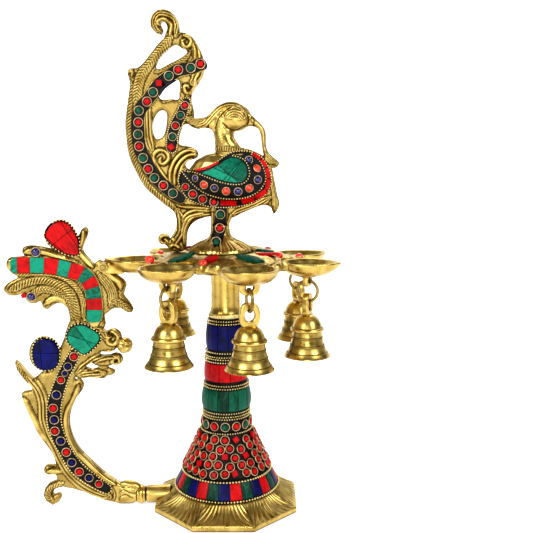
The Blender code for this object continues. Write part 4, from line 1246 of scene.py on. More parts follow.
def wire_ring(name, radius, wire, sides, segments):
    """A ring of round wire about Z."""
    turns = np.linspace(0, 2 * math.pi, sides + 1)[:-1]
    return turn(name, [(radius + wire * math.cos(a), wire * math.sin(a)) for a in turns], segments, True)


def build_bells():
    """Each bell with its cast loop and its pin, the ring it hangs on and its clapper."""
    for number, index in enumerate(BELL_CUPS, 1):
        body = turn(f"bell_{number}_turned", BELL_OUTSIDE + BELL_INSIDE, 88)
        smooth(body, 28)
        heights = get_points(body)[:, 2]
        # Shade painted into the turned grooves, through the crevice mask.
        grooves = sum(np.exp(-((heights - z) / 0.22) ** 2) for z in BELL_GROOVES)
        layer = body.data.attributes.new("crevice", "FLOAT", "POINT")
        layer.data.foreach_set("value", np.clip(grooves, 0, 1) * 0.85)
        loop = extrude_outline("loop", spline(LOOP_OUTER, steps=4), [spline(LOOP_HOLE, True, 4)], 1.9)
        melt(loop, 0.4, 6)
        body.data.transform(Matrix.Translation((0, 0, BELL_TOP * MM)))
        loop.data.transform(Matrix.Translation((0, 0, BELL_TOP * MM)))
        pin = turn("pin", PIN, 16)
        pin.data.transform(Matrix.Translation((0, 0, PIN_Z * MM)) @ Matrix.Rotation(math.pi / 2, 4, "Y"))
        bell = join(f"bell_{number}_turned", [body, loop, pin])
        bell.data.transform(cup_place(index, (CUP_CIRCLE, 0, 0)))
        place_piece(bell, "brass", f"bell_{number}", [f"bell_{number}"])

        ring = wire_ring(f"bell_ring_{number}_wire", RING_RADIUS, WIRE, 12, 64)
        ring.data.shade_smooth()
        hang = cup_place(index, (CUP_CIRCLE, 0, RING_Z))
        ring.data.transform(hang @ Matrix.Rotation(math.pi / 2, 4, "X"))
        place_piece(ring, "old_brass", f"ring_{number}", [f"bell_ring_{number}"])

        eye = wire_ring("eye", EYE_RADIUS, EYE_WIRE, 8, 32)
        eye.data.transform(Matrix.Rotation(math.pi / 2, 4, "Y"))
        bob = turn("bob", BOB, 32)
        smooth(bob, 40)
        eye.data.shade_smooth()
        clapper = join(f"clapper_{number}_cast", [bob, eye])
        clapper.data.transform(cup_place(index, (CUP_CIRCLE, 0, PIN_Z)))
        place_piece(clapper, "old_brass", f"clapper_{number}", [f"clapper_{number}"])


# ---------------------------------------------------------------- handle, in its own plane (reach, height)

# Relief strokes: kind, half width, height and the line they follow.
HANDLE_RELIEF = [
    ("ribs", 3.4, 1.0, [(133, 97), (126, 88), (120.5, 80), (118.5, 71), (118.5, 61), (116, 51), (112, 42),
                        (108.5, 33), (104, 24.5), (97, 16.5), (88, 10.5), (78, 6.5)]),
    ("ridge", 2.0, 1.2, [(130.5, 75), (127, 66), (123, 57), (118, 47)]),
    ("ridge", 1.7, 1.3, [(95.5, 83), (99, 74), (103.3, 66), (104.5, 57), (102.5, 47), (98, 38), (91, 30),
                         (83, 21.5), (74, 15)]),
    ("rope", 2.5, 1.3, [(136, 146), (127, 150), (117, 152), (108, 150), (101, 146), (97, 140), (95.5, 132),
                        (94.5, 125)]),
    ("feather", 2.3, 1.2, [(124, 141), (117, 146), (109, 145), (102, 141), (99, 135), (98.5, 127)]),
    ("ridge", 1.9, 1.1, [(115, 136.5), (110, 140), (105, 139.5), (102, 136)]),
    ("rope", 1.7, 1.1, [(136, 156.5), (127, 156.2), (117, 156.5), (108, 155.5), (101, 152.5), (95, 147),
                        (91.5, 140), (90.5, 132), (90.5, 126)]),
    ("ridge", 2.2, 1.3, [(126, 169.7), (119, 170.8), (110, 169), (101, 165), (94, 161.5)]),
    ("ridge", 1.6, 1.0, [(89.5, 183), (89.8, 176), (92, 170), (89, 165.5), (84, 160)]),
    ("fine", 3.2, 1.0, [(80.5, 156), (75, 149.5), (72, 142), (73.5, 135)]),
    ("feather", 2.6, 1.1, [(72, 139), (66.5, 135.5), (61, 131.5)]),
    ("ridge", 2.0, 1.0, [(67, 146), (68, 150), (73, 154.5), (79, 159)]),
    ("fine", 3.4, 1.1, [(88, 126), (88.5, 133), (87, 141)]),
    ("ribs", 3.0, 1.1, [(86, 119.5), (80, 117.5), (77, 113)]),
    ("ridge", 1.5, 1.5, [(80, 119), (75, 119), (70.6, 116.6), (69.4, 112.6), (71.8, 109.8), (75.4, 110.6),
                         (76.4, 113.6), (74, 114.8)]),
    ("ribs", 3.0, 1.1, [(96, 91), (90.4, 95.5), (85, 99.5), (79, 102), (73, 102.6), (69, 100.6)]),
    ("ridge", 1.3, 1.4, [(73, 102.6), (69.2, 100.8), (69, 97.6), (71.6, 96), (74, 97.4), (72.6, 99.6)]),
    ("ribs", 3.0, 1.0, [(95, 89), (88, 90), (79, 90.5)]),
    ("feather", 2.6, 1.2, [(128, 85), (134, 95)]),
    ("rope", 1.8, 1.0, [(108, 17), (115.5, 14.2), (118, 9), (115, 5)]),
    ("ridge", 2.2, 1.2, [(109, 25), (117, 25.5)]),
    ("groove", 0.8, 0.8, [(76, 1.5), (73.6, 7), (75.5, 13)]),
    ("groove", 0.6, 0.7, [(71.5, 9.4), (68.5, 11.2), (65, 9.6), (61.5, 8.6), (58.5, 9.6)]),
    ("groove", 0.6, 0.7, [(71.3, 6.2), (67.6, 8.1), (64.4, 6.6), (62.2, 5.4)]),
]
TEARDROP = [(112.6, 180), (110.7, 184.9), (106.8, 188.2), (102.4, 189.2), (98.1, 187.1), (94.9, 182.2),
            (92.8, 177), (92.5, 171.9), (92.9, 168.6), (96.3, 168.1), (100.6, 169.1), (105, 171.6),
            (109.8, 175.6)]
HEART = [(101.2, 116.9), (98.5, 121.3), (92.7, 122.9), (87, 120.7), (81.6, 116.6), (81.6, 112.6),
         (85.4, 108), (91.1, 104), (95.8, 106.8), (99.5, 110), (101, 112.9)]
OVAL = [(115.4 + 7.8 * abs(math.cos(a)) ** 0.8 * math.copysign(1, math.cos(a)),
         104.0 + 10.0 * abs(math.sin(a)) ** 0.8 * math.copysign(1, math.sin(a)))
        for a in np.linspace(0, 2 * math.pi, 33)[:-1]]
TAPE = [(135, 162, 2.9), (134.2, 162, 4.2), (132.6, 161.9, 4.9), (128.6, 161.9, 5), (118.5, 161.8, 5),
        (109.8, 161.1, 5), (101.6, 159.4, 5), (96, 157.7, 5), (91.3, 155.9, 5), (87.4, 152.3, 4.9),
        (84.9, 146.4, 4.8), (83.9, 139.8, 4.8), (83.8, 132.6, 4.8), (84.2, 127.4, 4.7), (84.4, 125.4, 4),
        (84.4, 124.4, 2.8)]
TAPE_MARKS = [(130.7, 161.9), (122.9, 161.8), (114.2, 161.5), (105.8, 160.2), (98.5, 158.7), (91.4, 155.8),
              (87, 152.3), (84.6, 146.9), (83.8, 140), (83.7, 132.7)]
STRIP = [(96.4, 106, 2.4), (98.5, 101.5, 3.2), (101.7, 95.9, 3.5), (105, 89.5, 3.4), (109.6, 77.3, 3.9),
         (111.6, 68.4, 4), (111.6, 57, 4), (108.9, 47.5, 4), (104.7, 38.6, 4), (100, 29.5, 4),
         (94, 22.8, 3.8), (86.5, 17.2, 3.6), (79.5, 12.2, 2.8)]
STRIP_STONES = [(97.6, 102.4, "coral", 3.1), (101.7, 95.9, "lapis", 2.9), (103.8, 91.4, "lapis", 2.2),
                (106.4, 87.1, "coral", 2.8), (109.6, 77.3, "lapis", 3.2), (112, 68.4, "coral", 3.2),
                (111.6, 60.7, "lapis", 3.2), (111.5, 53.1, "coral", 3.2), (108, 46.3, "lapis", 3.2),
                (104.7, 38.6, "coral", 3.2), (101.5, 31.4, "lapis", 3.2), (96.8, 24.9, "coral", 3.1),
                (90.6, 20.5, "lapis", 3), (84.4, 16.2, "coral", 2.8)]


def beads_on(casting, line, side, closed=True, radius=BEAD):
    """A string of beads along a line on a casting's face."""
    plan = evenly(spline(line, closed, 5), BEAD_PITCH * radius / BEAD, closed)
    return world_spots(casting, casting.spots(plan, side, sink=-radius * 0.6))


def stones_on(casting, plan, side, level=True):
    """World spots for (x, z, colour, radius) stones, sorted by colour: facing straight out if level."""
    sorted_spots = {}
    for x, z, colour, radius in plan:
        if not level:
            (position, normal), = casting.spots([(x, z)], side)
            sorted_spots.setdefault(colour, []).append((position, normal, radius))
            continue
        around = [casting.drop_on(x + radius * u, z + radius * w, side)[0].y
                  for u, w in ((0, 0), (0.4, 0), (-0.4, 0), (0, 0.4), (0, -0.4))]
        position = Vector((x, max(around, key=abs), z))
        normal = Vector((0, casting.front * side, 0))
        sorted_spots.setdefault(colour, []).append((position, normal, radius))
    return {colour: world_spots(casting, spots) for colour, spots in sorted_spots.items()}


# Masses that stand out of the flat handle: centres and radii.
HANDLE_SWELLS = [((66, 0, 8.2), (10.4, 4.8, 7.9)), ((71.4, 0, 99.4), (4.6, 3.6, 4.2)),
                 ((79.5, 0, 98.2), (8, 3.2, 3.8)), ((72.6, 0, 114.2), (5.2, 3.6, 5.6)),
                 ((80, 0, 91), (8, 3.3, 3.2))]
SMOOTH_MOUTH = [(56, -1), (75, -1), (75, 17), (56, 17)]
# The larger stones of the handle: name, outline, cuts, stone, and the joints' half width.
HANDLE_SLABS = (
    ("teardrop", TEARDROP, [((102.8, 179), (1, -0.8)), ((102.4, 188), (-9.6, -15)),
                            ((109.8, 177), (-9.2, -7.9))], "coral", 0.3),
    ("heart", HEART, [((99.3, 116.2), (9.5, 3.5)), ((90, 113), (6, 9))], "bright_malachite", 0.26),
    ("oval", OVAL, [((115.5, 105), (1, 0.05)), ((118.6, 106), (0.05, 1))], "lapis", 0.22),
)
NAVY_CABOCHONS = [(118.8, 170.2, "navy_glass", 3.1), (122.8, 141.7, "navy_glass", 3.1)]
CORAL_CHIP = [(127.6, 142.4, "coral", 1.7)]
BUD_SPOT = (65.5, 2.2, 108.5)
BUD_RADIUS, BUD_RISE, BUD_BACK = 5.0, 3.4, -4
BUD_HINGE = 4.4  # how far below its middle the shell's ribs meet


def build_handle():
    """The openwork handle: cast scrolls, with stonework on its face. Its back is plain."""
    casting = Casting("handle", HANDLE_ANGLE, 1)
    beds = [band_outline(STRIP, 4), spline(HEART, True, 2), spline(TEARDROP, True, 2), OVAL,
            band_outline([(x, z, half + 0.5) for x, z, half in TAPE], 5)]
    casting.model(HANDLE_RELIEF, HANDLE_SWELLS, beds, [SMOOTH_MOUTH])
    strings = []
    for name, outline, cuts, stone, joint in HANDLE_SLABS:
        ring = [outline] if name == "oval" else [spline(outline, True, 4)]
        mosaic(f"handle_{name}_slips_front", casting, ring, cuts, stone, 1, proud=1.5, joint=joint)
    slips = slip_outlines(TAPE, TAPE_MARKS)
    mosaic("handle_band_coral_front", casting, slips[1::2], [], "coral", 1, proud=1.35)
    mosaic("handle_band_malachite_front", casting, slips[::2], [], "bright_malachite", 1, proud=1.35)
    lac_bed("handle_strip_lac_front", casting, band_outline(STRIP, 4), 1, proud=0.5)
    for colour, spots in stones_on(casting, STRIP_STONES, 1).items():
        set_stones(f"handle_{colour}_stones_front", spots, colour, sides=5, rise=0.55)
    for name, outline, *_ in HANDLE_SLABS:
        smooth_line = spline(outline, True, 3)
        lac_bed(f"handle_{name}_lac_front", casting, offset(smooth_line, 1.2), 1, 0.35)
        strings += beads_on(casting, offset(evenly(smooth_line, 2.0, True), 0.95), 1, radius=0.8)
    edge = np.array(band_outline([(x, z, half + 0.4) for x, z, half in STRIP], 4))
    strings += beads_on(casting, evenly(edge, 2.0, True), 1, radius=0.7)
    navy = stones_on(casting, NAVY_CABOCHONS, 1)["navy_glass"]
    set_stones("handle_navy_cabochons_front", navy, "navy_glass", domed=True, rise=0.3)
    red = stones_on(casting, CORAL_CHIP, 1)["coral"]
    set_stones("handle_coral_chip_front", red, "coral", ring=False, sides=5)
    bead_string("handle_beads", strings, 0.7, ["handle_coral_teardrop", "handle_striped_band",
                "handle_malachite_heart", "handle_lapis_oval", "handle_stone_strip"])

    dome = [(BUD_RADIUS * math.cos(a), BUD_RISE * math.sin(a)) for a in np.linspace(1.5, 0, 12)]
    shell = turn("handle_shell_bud", [(0.02, 0), *dome, (4.6, BUD_BACK), (0.02, BUD_BACK)], 96)
    points = get_points(shell)
    from_hinge = points[:, 0] + BUD_HINGE
    spread = np.hypot(from_hinge, points[:, 1])
    ribs = np.cos(np.arctan2(points[:, 1], from_hinge) * 9)
    points[:, 2] += 0.5 * ribs * (points[:, 2] > 0) * (spread > 1)
    set_points(shell, points)
    spot = Matrix.Translation(Vector(BUD_SPOT) * MM)
    shell.data.transform(spot @ Matrix.Rotation(-math.pi / 2, 4, "X"))
    shell.data.shade_smooth()
    casting.carry(shell)
    place_piece(shell, "relief_brass")
    place_piece(casting.carry(casting.piece), "relief_brass", replaces=["handle"])


# ---------------------------------------------------------------- peacock, in the XZ plane

PEACOCK_RELIEF = [
    ("feather", 3.2, 1.1, [(-32.6, 302.4), (-39.5, 294.5), (-45.5, 287.6), (-51, 279.6), (-53.7, 271.7),
                           (-54.9, 261.7)]),
    ("rope", 2, 1.5, [(-58, 275.6), (-58.8, 267.7), (-59.4, 259.7), (-59.8, 251.8), (-59.6, 239.9),
                      (-58, 230), (-54.2, 221), (-49.2, 212.6), (-44, 206.9), (-37.5, 201.5),
                      (-31.1, 196.7)]),
    ("ribs", 2.4, 1.3, [(-29.4, 303.3), (-28, 309), (-29.9, 314.4), (-34.4, 316.9), (-39.5, 317.3),
                        (-42.7, 314.4), (-43.5, 310.2), (-41.8, 306.5), (-38.9, 305.4)]),
    ("ridge", 1.3, 1.5, [(-33.3, 303.3), (-32.2, 309), (-34.8, 312.6), (-38.6, 313), (-40.4, 311.2),
                         (-39.1, 309.6)]),
    ("ridge", 1, 1.4, [(-61.4, 279.1), (-59.8, 282.2), (-57, 281.8), (-57.2, 279)]),
    ("ribs", 4.6, 1.2, [(-18.9, 302), (-15.5, 297), (-14.7, 291.9), (-15.1, 285.6), (-16.1, 280.2),
                        (-19.2, 275.1)]),
    ("ridge", 1.2, 1.5, [(-24.8, 303.6), (-21.3, 302.7), (-20.1, 299.3), (-22.4, 296.4), (-24.9, 297.7),
                         (-25.5, 300.1), (-24.1, 301.1)]),
    ("rope", 1.6, 1.2, [(-21.2, 293.2), (-25.1, 288.9), (-31.7, 286), (-37, 283.9), (-42.5, 281.4)]),
    ("ridge", 1.2, 1.5, [(-17.4, 276.7), (-18.3, 272.2), (-20.3, 269.1), (-23.4, 269), (-24.8, 271.9),
                         (-23.2, 273.6), (-21.9, 272)]),
    ("ribs", 2.2, 1.2, [(-22.7, 266.7), (-22.3, 261.7), (-21.9, 256.3)]),
    ("fine", 2.6, 1.1, [(-24, 253.2), (-18.7, 251.6), (-13.7, 250.8), (-8.2, 252.6)]),
    ("ribs", 3.2, 1.1, [(-48.5, 261.7), (-48.5, 254.8), (-48.2, 247.8), (-47.8, 239.9), (-45.5, 232.9)]),
    ("feather", 2.2, 1, [(-37.5, 263.7), (-33.6, 266.5), (-29.6, 269.7), (-27.2, 274.6)]),
    ("ribs", 2.4, 1.2, [(-46.5, 231), (-43.5, 223), (-39.5, 216.6), (-34.6, 211.1), (-30.6, 208.1)]),
    ("ridge", 1.3, 1.6, [(-43.7, 224.2), (-44.7, 230.1), (-41.1, 233.6), (-36.6, 232.6), (-35.2, 228.4),
                         (-38, 225.1), (-40.9, 226.4), (-39.9, 229)]),
    ("ridge", 1.2, 1.5, [(-34.3, 212.2), (-34.5, 219.4), (-32, 226.1), (-27.2, 231.5), (-21.3, 233.7),
                         (-17.7, 232.2)]),
    ("ridge", 1.2, 1.4, [(-31.6, 211.9), (-31.5, 219), (-29.2, 224.6), (-25, 229), (-20, 231),
                         (-17.3, 230)]),
    ("ridge", 1.2, 1.3, [(-29, 212.6), (-28.2, 219.4), (-25.2, 224.8), (-20.7, 228)]),
    ("ridge", 1, 1.2, [(-26.4, 217), (-25, 221.4), (-22.3, 225)]),
    ("ribs", 3.6, 1.2, [(-30.2, 195.7), (-29, 189.2), (-29.2, 182.3), (-32.6, 176.3), (-35, 172.8)]),
    ("ridge", 1.1, 1.4, [(-30.6, 199.2), (-26.6, 198), (-19.7, 197.6), (-9.7, 196.8)]),
    ("ridge", 1.1, 1.4, [(-27.2, 189.8), (-24, 193.6), (-18.5, 195.6), (-9.7, 195.1)]),
    ("ridge", 1.1, 1.4, [(-25.6, 173.4), (-25.8, 180.7), (-23.6, 187.5), (-19.3, 191.8), (-9.7, 193)]),
    ("ridge", 1.1, 1.3, [(-27.5, 181.3), (-26, 187.3), (-22.3, 191.8), (-13.7, 194)]),
    ("ridge", 1.3, 1.5, [(-32.2, 176), (-34.9, 178.7), (-38.1, 180.1), (-41.3, 178.5), (-41.5, 175.5),
                         (-38.9, 174), (-37, 175.3), (-38.2, 177.2)]),
    ("ridge", 1, 1.3, [(-36.6, 171), (-32.6, 173.6), (-29.2, 171.4)]),
    ("ridge", 1.6, 1.1, [(17.3, 252.7), (21.1, 249.7), (24.2, 245.3), (24.8, 239.9), (25.8, 233.9),
                         (28.6, 229.6)]),
    ("fine", 2.8, 1.1, [(26.2, 231.9), (28.6, 228.4), (32.6, 225.6)]),
    ("fine", 2.6, 1, [(30.6, 220), (31.8, 211.1), (32.8, 203.1), (32.2, 196.2)]),
    ("ribs", 2.6, 1, [(28.5, 203.7), (20, 198.6), (11.1, 195.2), (5.2, 192.8)]),
    ("ridge", 0.9, 1.2, [(-8, 194.2), (-8.2, 186.3), (-8.9, 179.9), (-12.3, 175.7)]),
    ("ridge", 0.9, 1.2, [(4.2, 193.2), (2.2, 187.3), (2.4, 181.7), (5.2, 177.3)]),
    ("ribs", 2.3, 0.7, [(-17, 248.6), (-12.4, 249.8), (-7.8, 254.8), (-3, 259.6), (3.3, 261.9),
                        (9.4, 260.6), (13.8, 256.8)]),
    ("groove", 0.7, 0.75, [(-5.6, 246.5), (-3.9, 252.2), (0.1, 257.3), (4.8, 260.2)]),
    ("groove", 0.6, 0.6, [(-0.2, 254.5), (3.5, 258.1), (7.3, 259), (11.3, 257.4), (13.8, 254.2)]),
    ("groove", 0.6, 0.6, [(1.1, 254), (4.1, 256.6), (7.3, 257.2), (10.5, 255.8), (12.7, 253.4)]),
    ("groove", 0.6, 0.6, [(2.8, 253.9), (5.1, 255.3), (7.3, 255.6), (9.7, 254.6), (11.4, 252.7)]),
    ("groove", 0.6, 0.6, [(4.1, 253.6), (6.1, 254.2), (7.6, 254.2), (9.1, 253.6), (10.1, 252.4)]),
    ("groove", 0.8, 1, [(-0.6, 250.2), (2.7, 247.1), (7.2, 246.1), (13.2, 249)]),
    ("groove", 0.7, 1, [(14.3, 248.7), (15.5, 252.2), (14.9, 255.2)]),
    ("groove", 0.7, 1, [(18, 248.8), (19, 251.6), (18.1, 254.2)]),
    ("comb", 1.7, 1.2, [(-6.6, 234), (0, 234.3), (6.4, 234.1), (13.6, 234.5)]),
]
# The neck: x, z and radii of its swells. The last lies inside the body.
NECK = [(-1.6, 252.5, 5.4, 5.4, 5), (-1.5, 246.2, 5.5, 5.3, 4.6), (-0.1, 240.8, 6.4, 6.2, 4),
        (1.4, 236.8, 7.6, 6.8, 3.4), (3.2, 233.6, 8.8, 6.6, 2.4), (4.4, 231, 9.8, 7, 3)]
HEAD = ((6.8, 0, 252.8), (9.6, 7.2, 7.6))
SMOOTH_NECK = [(-9.5, 262), (-9.5, 231), (15, 233.2), (15, 236.4), (5.5, 245), (14, 246), (21, 251),
               (19, 257), (9, 264), (-2, 263)]
BODY_EDGE = [(-25.9, 221.4), (-28.3, 218.2), (-29, 213.6), (-26.8, 207.6), (-22.9, 202.9), (-16.2, 199.7),
             (-8.9, 197.9), (-1.6, 197.5), (7.1, 197.9), (15.1, 199.5), (22.4, 203.1), (27.1, 207.2),
             (29.6, 213.1), (29, 219.5), (26.8, 224.8), (23.6, 229), (17.7, 232.1), (12.6, 232.9),
             (7.3, 232.6), (2.7, 231.2), (-1, 228.6), (-5.6, 225.2), (-11.6, 222.8), (-19.5, 221.4)]
WING = [(-13.9, 219.3), (-8.6, 221.8), (-2, 225.4), (1.3, 227.7), (5.3, 229), (9.9, 227.7), (13.2, 224.8),
        (14.6, 220.8), (14.1, 216.5), (11.9, 214), (8.5, 213.3), (3.3, 213.6), (-2.8, 215.1), (-8.7, 217.4)]
WING_CUTS = [((-7.3, 223.1), (9.7, -4.6)), ((2, 219.5), (8, -6.6)), ((4.5, 217.6), (6.1, 8.6)),
             ((-1.4, 213.6), (4.7, 5.3))]
WING_BEADS = [(-25, 220.6), (-20, 219.9), (-13.9, 218.1), (-9.4, 216.2), (-2.8, 213.8), (3.9, 212.4),
              (9.9, 212.3), (13.3, 213.7), (15.7, 217.3), (15.5, 221.8), (13.4, 226.1), (9.9, 228.9),
              (5.4, 230.2)]
MIDDLE_ROW = [(-26.6, 219.8), (-23.3, 215.6), (-19.4, 211.6), (-14.1, 207.6), (-7.5, 205), (0.5, 203.3),
              (8.5, 203.3), (16.5, 205), (21.8, 208.3), (25.4, 212.9), (26, 218.2), (24.2, 223.4),
              (21.2, 228.1), (17.2, 230.9)]
SHELL_STONES = [(15.5, 227.4, "navy_glass", 2.7), (20.3, 221.8, "red_glass", 2.8),
                (20.9, 215.1, "navy_glass", 2.8), (15.7, 210.1, "red_glass", 2.8),
                (8.8, 207.9, "navy_glass", 2.8), (1.4, 208.2, "red_glass", 2.8),
                (-5.9, 210.1, "navy_glass", 2.7), (-12.4, 212.1, "red_glass", 2.8),
                (-17.9, 215.9, "navy_glass", 2.4)]
RIM_STONES = [(-24.7, 210.5, "coral", 2.6), (-20.1, 206, "coral", 3), (-13.9, 202.8, "coral", 3),
              (-6.8, 201, "coral", 3)]
RIM_BARS = [[(-2.4, 200.5), (7.6, 200.2)], [(10.8, 201.2), (19.1, 202.8)], [(19.8, 203.5), (26.4, 208)],
            [(26.8, 208.8), (28, 215.3)], [(28, 216.1), (27, 222.4)], [(26.6, 223.2), (23.6, 227.6)],
            [(22.8, 228.5), (18, 231.5)], [(-18, 221), (-11, 222.4)], [(-10.5, 222.6), (-3.3, 226)]]
TAIL_STRIP = [(-14, 286.3, 3.4), (-20.5, 284, 3.6), (-27.9, 282.4, 3.6), (-34.1, 278.9, 3.6),
              (-40.3, 274.4, 3.6), (-44.5, 268.7, 3.7), (-48.4, 263.4, 3.7), (-53.1, 257.6, 3.7),
              (-54.1, 250.7, 3.8), (-54.1, 243.1, 3.8), (-53.3, 235.7, 3.8), (-50.8, 228.9, 3.8),
              (-47.2, 222, 3.8), (-43.5, 216.1, 3.8), (-38.3, 211.1, 3.8), (-32.3, 206.2, 3.7),
              (-27.9, 203.2, 3)]
# Stones of the strips: x, z and kind, 0 coral and 1 malachite in a bezel, 2 a bare coral chip.
TAIL_STONES = [(-14.3, 286.3, 0), (-20.3, 283.9, 1), (-28.1, 282.7, 0), (-34, 279.1, 1), (-40.3, 274.7, 2),
               (-44, 269.1, 1), (-47.9, 263.4, 0), (-53.1, 257.9, 1), (-53.6, 250.7, 0), (-53.9, 243.3, 1),
               (-53.4, 235.9, 0), (-51.1, 228.6, 1), (-48, 221.8, 0), (-44.2, 216.1, 1), (-38.6, 211.4, 0),
               (-32.6, 206.5, 1)]
INNER_STRIP = [(-23.7, 263.1, 2.8), (-26.7, 255.6, 3.4), (-30.4, 249, 3.4), (-32.5, 242.3, 3.4),
               (-33.1, 234.9, 3.2)]
INNER_STONES = [(-24.3, 261.1, 0), (-27.1, 255.1, 1), (-30.4, 248.6, 0), (-32.4, 241.8, 1),
                (-33.2, 235.5, 2)]
LEG_STRIP = [(-2.1, 196.8, 3.7), (-2.7, 189.4, 3.8), (-3.3, 183.5, 3.8), (-4.8, 177.6, 3.7)]
LEG_STONES = [(-2.7, 193.1, 1), (-3, 184.6, 0), (-4.9, 176.7, 1)]
STRIPS = (("tail", TAIL_STRIP), ("inner", INNER_STRIP), ("leg", LEG_STRIP))
LARGE_BEZEL, SMALL_BEZEL, BARE_CHIP = 3.2, 2.8, 2.5
RIM_HALVES = [1.65] * 3 + [1.35] * 4 + [0.8] * 2  # half widths of the red bars round the body


def build_peacock():
    """The peacock casting, with black lac beds, slips, bezelled stones and beads on both its faces."""
    casting = Casting("peacock", 0, -1)
    beds = [band_outline([(x, z, half + 0.4) for x, z, half in line], 4) for _, line in STRIPS]
    neck = [((x, 0, z), radii) for x, z, *radii in spline(NECK, steps=3)]
    casting.model(PEACOCK_RELIEF, [*neck, HEAD], beds + [spline(BODY_EDGE, True, 3)], [SMOOTH_NECK])
    points = get_points(casting.piece)
    from_leg = points[:, 0] + 3
    away, round_leg = np.hypot(from_leg, points[:, 1]), np.arctan2(points[:, 1], from_leg)
    share = np.clip((22 - away) / 4, 0, 1) * np.clip((178 - points[:, 2]) / 3, 0, 1)
    share *= points[:, 2] > 169.2
    leaves = np.abs(np.sin(round_leg * 4.5)) - 0.5 + 0.3 * np.cos(round_leg * 45)
    points[:, 2] += share * leaves * 1.1
    set_points(casting.piece, points)
    casting.look_up()
    strings = []
    stones = ("coral", "malachite")
    mixed = [(x, z, stones[kind], LARGE_BEZEL) for x, z, kind in TAIL_STONES + LEG_STONES if kind < 2]
    mixed += [(x, z, stones[kind], SMALL_BEZEL) for x, z, kind in INNER_STONES if kind < 2]
    bare = [(x, z, "coral", BARE_CHIP) for x, z, kind in TAIL_STONES + INNER_STONES if kind == 2]
    bars = [slip_outlines([(*start, half), (*end, half)], [])[0]
            for (start, end), half in zip(RIM_BARS, RIM_HALVES)]
    for side in (1, -1):
        face = "front" if side > 0 else "back"
        lac_bed(f"peacock_body_lac_{face}", casting, spline(BODY_EDGE, True, 4), side, 0.3)
        for name, line in STRIPS:
            lac_bed(f"peacock_{name}_lac_{face}", casting, band_outline(line, 3.6), side, 0.5)
        mosaic(f"peacock_wing_slips_{face}", casting, [spline(WING, True, 4)], WING_CUTS, "bright_malachite",
               side, proud=1.3, joint=0.3)
        mosaic(f"peacock_rim_slips_{face}", casting, bars, [], "coral", side, proud=1.0, joint=0.05)
        for colour, spots in stones_on(casting, mixed, side).items():
            sides = 4 if colour == "coral" else 7
            set_stones(f"peacock_{colour}_stones_{face}", spots, colour, sides=sides, rise=0.5)
        chips = stones_on(casting, bare, side)["coral"]
        set_stones(f"peacock_coral_chips_{face}", chips, "coral", ring=False, sides=4, rise=0.4)
        rim = stones_on(casting, RIM_STONES, side, level=False)["coral"]
        set_stones(f"peacock_rim_stones_{face}", rim, "coral", sides=4, rise=0.5)
        for colour, spots in stones_on(casting, SHELL_STONES, side, level=False).items():
            set_stones(f"peacock_{colour}_cabochons_{face}", spots, colour, domed=True, rise=0.4)
        strings += beads_on(casting, WING_BEADS, side, closed=False)
        strings += beads_on(casting, MIDDLE_ROW, side, closed=False)
        strings += beads_on(casting, BODY_EDGE, side)
        edge = evenly(np.array(band_outline(INNER_STRIP, 3.2)), 2.0, True)
        strings += beads_on(casting, edge, side, radius=0.5)
    bead_string("peacock_beads", strings, 0.58, ["peacock_wing_front", "peacock_wing_back",
                "peacock_tail_strip_front", "peacock_tail_strip_back"])
    place_piece(casting.piece, "relief_brass", replaces=["peacock"])


# ---------------------------------------------------------------- stage

# Soft boxes: place in metres, size in metres and share of the light's power.
SOFT_BOXES = (((-0.9, -1.1, 1.0), 0.7, 1.0), ((0.9, -0.8, 0.9), 0.5, 0.55), ((0.1, 0.9, 1.3), 0.9, 0.5),
              ((0.0, -1.3, 0.35), 0.35, 0.25))
LAMP_MIDDLE = (0, 0, 0.16)
STAGE_SIZE = 6


def build_stage():
    """White floor and backdrop, soft boxes, and the camera."""
    deselect_all()
    bpy.ops.mesh.primitive_plane_add(size=STAGE_SIZE, location=(0, 0, -0.0002))
    floor = bpy.context.object
    floor.name = "studio_floor"
    bpy.ops.mesh.primitive_plane_add(size=STAGE_SIZE, location=(0, 2.0, 0), rotation=(math.pi / 2, 0, 0))
    wall = bpy.context.object
    wall.name = "studio_wall"
    settle(wall)
    paper, tree, shader, place = start_material("white_paper_sweep", Roughness=0.9)
    fibres = add_node(tree, "ShaderNodeTexNoise", values={"Scale": 400.0},
                      links={"Vector": (place, "Object")})
    tone = ramp(tree, fibres, "Fac", [(0.3, grey(0.88)), (0.7, grey(0.92))])
    tree.links.new(tone.outputs["Color"], shader.inputs["Base Color"])
    shader.inputs["Emission Color"].default_value = grey(1.0)
    shader.inputs["Emission Strength"].default_value = 0.5
    for piece in (floor, wall):
        piece.data.materials.append(paper)
    world = bpy.data.worlds.new("studio")
    world.use_nodes = True
    world.node_tree.nodes["Background"].inputs["Color"].default_value = grey(0.5)
    world.node_tree.nodes["Background"].inputs["Strength"].default_value = 0.35
    bpy.context.scene.world = world
    settings = bpy.context.scene.lamp_stage
    for spot, size, share in SOFT_BOXES:
        bpy.ops.object.light_add(type="AREA", location=spot)
        lamp = bpy.context.object
        lamp.data.size = size
        lamp.data.energy = settings.light_power * share
        aim = Vector(LAMP_MIDDLE) - Vector(spot)
        lamp.rotation_euler = aim.to_track_quat("-Z", "Y").to_euler()
    bpy.ops.object.camera_add(location=settings.camera_place,
                              rotation=(math.radians(90 - settings.camera_pitch), 0, 0))
    camera = bpy.context.object
    camera.data.lens = settings.camera_lens
    camera.data.sensor_width = 36.0
    camera.data.dof.use_dof = False
    bpy.context.scene.camera = camera
    bpy.context.scene.view_settings.view_transform = "Standard"
    bpy.context.scene.view_settings.look = "Medium High Contrast"


# ---------------------------------------------------------------- the add-on

def colour_setting(name, code, description):
    """A colour property whose default is an sRGB hex colour."""
    return FloatVectorProperty(name=name, description=description, default=linear(code)[:3], min=0.0,
                               max=1.0, size=3, subtype="COLOR")


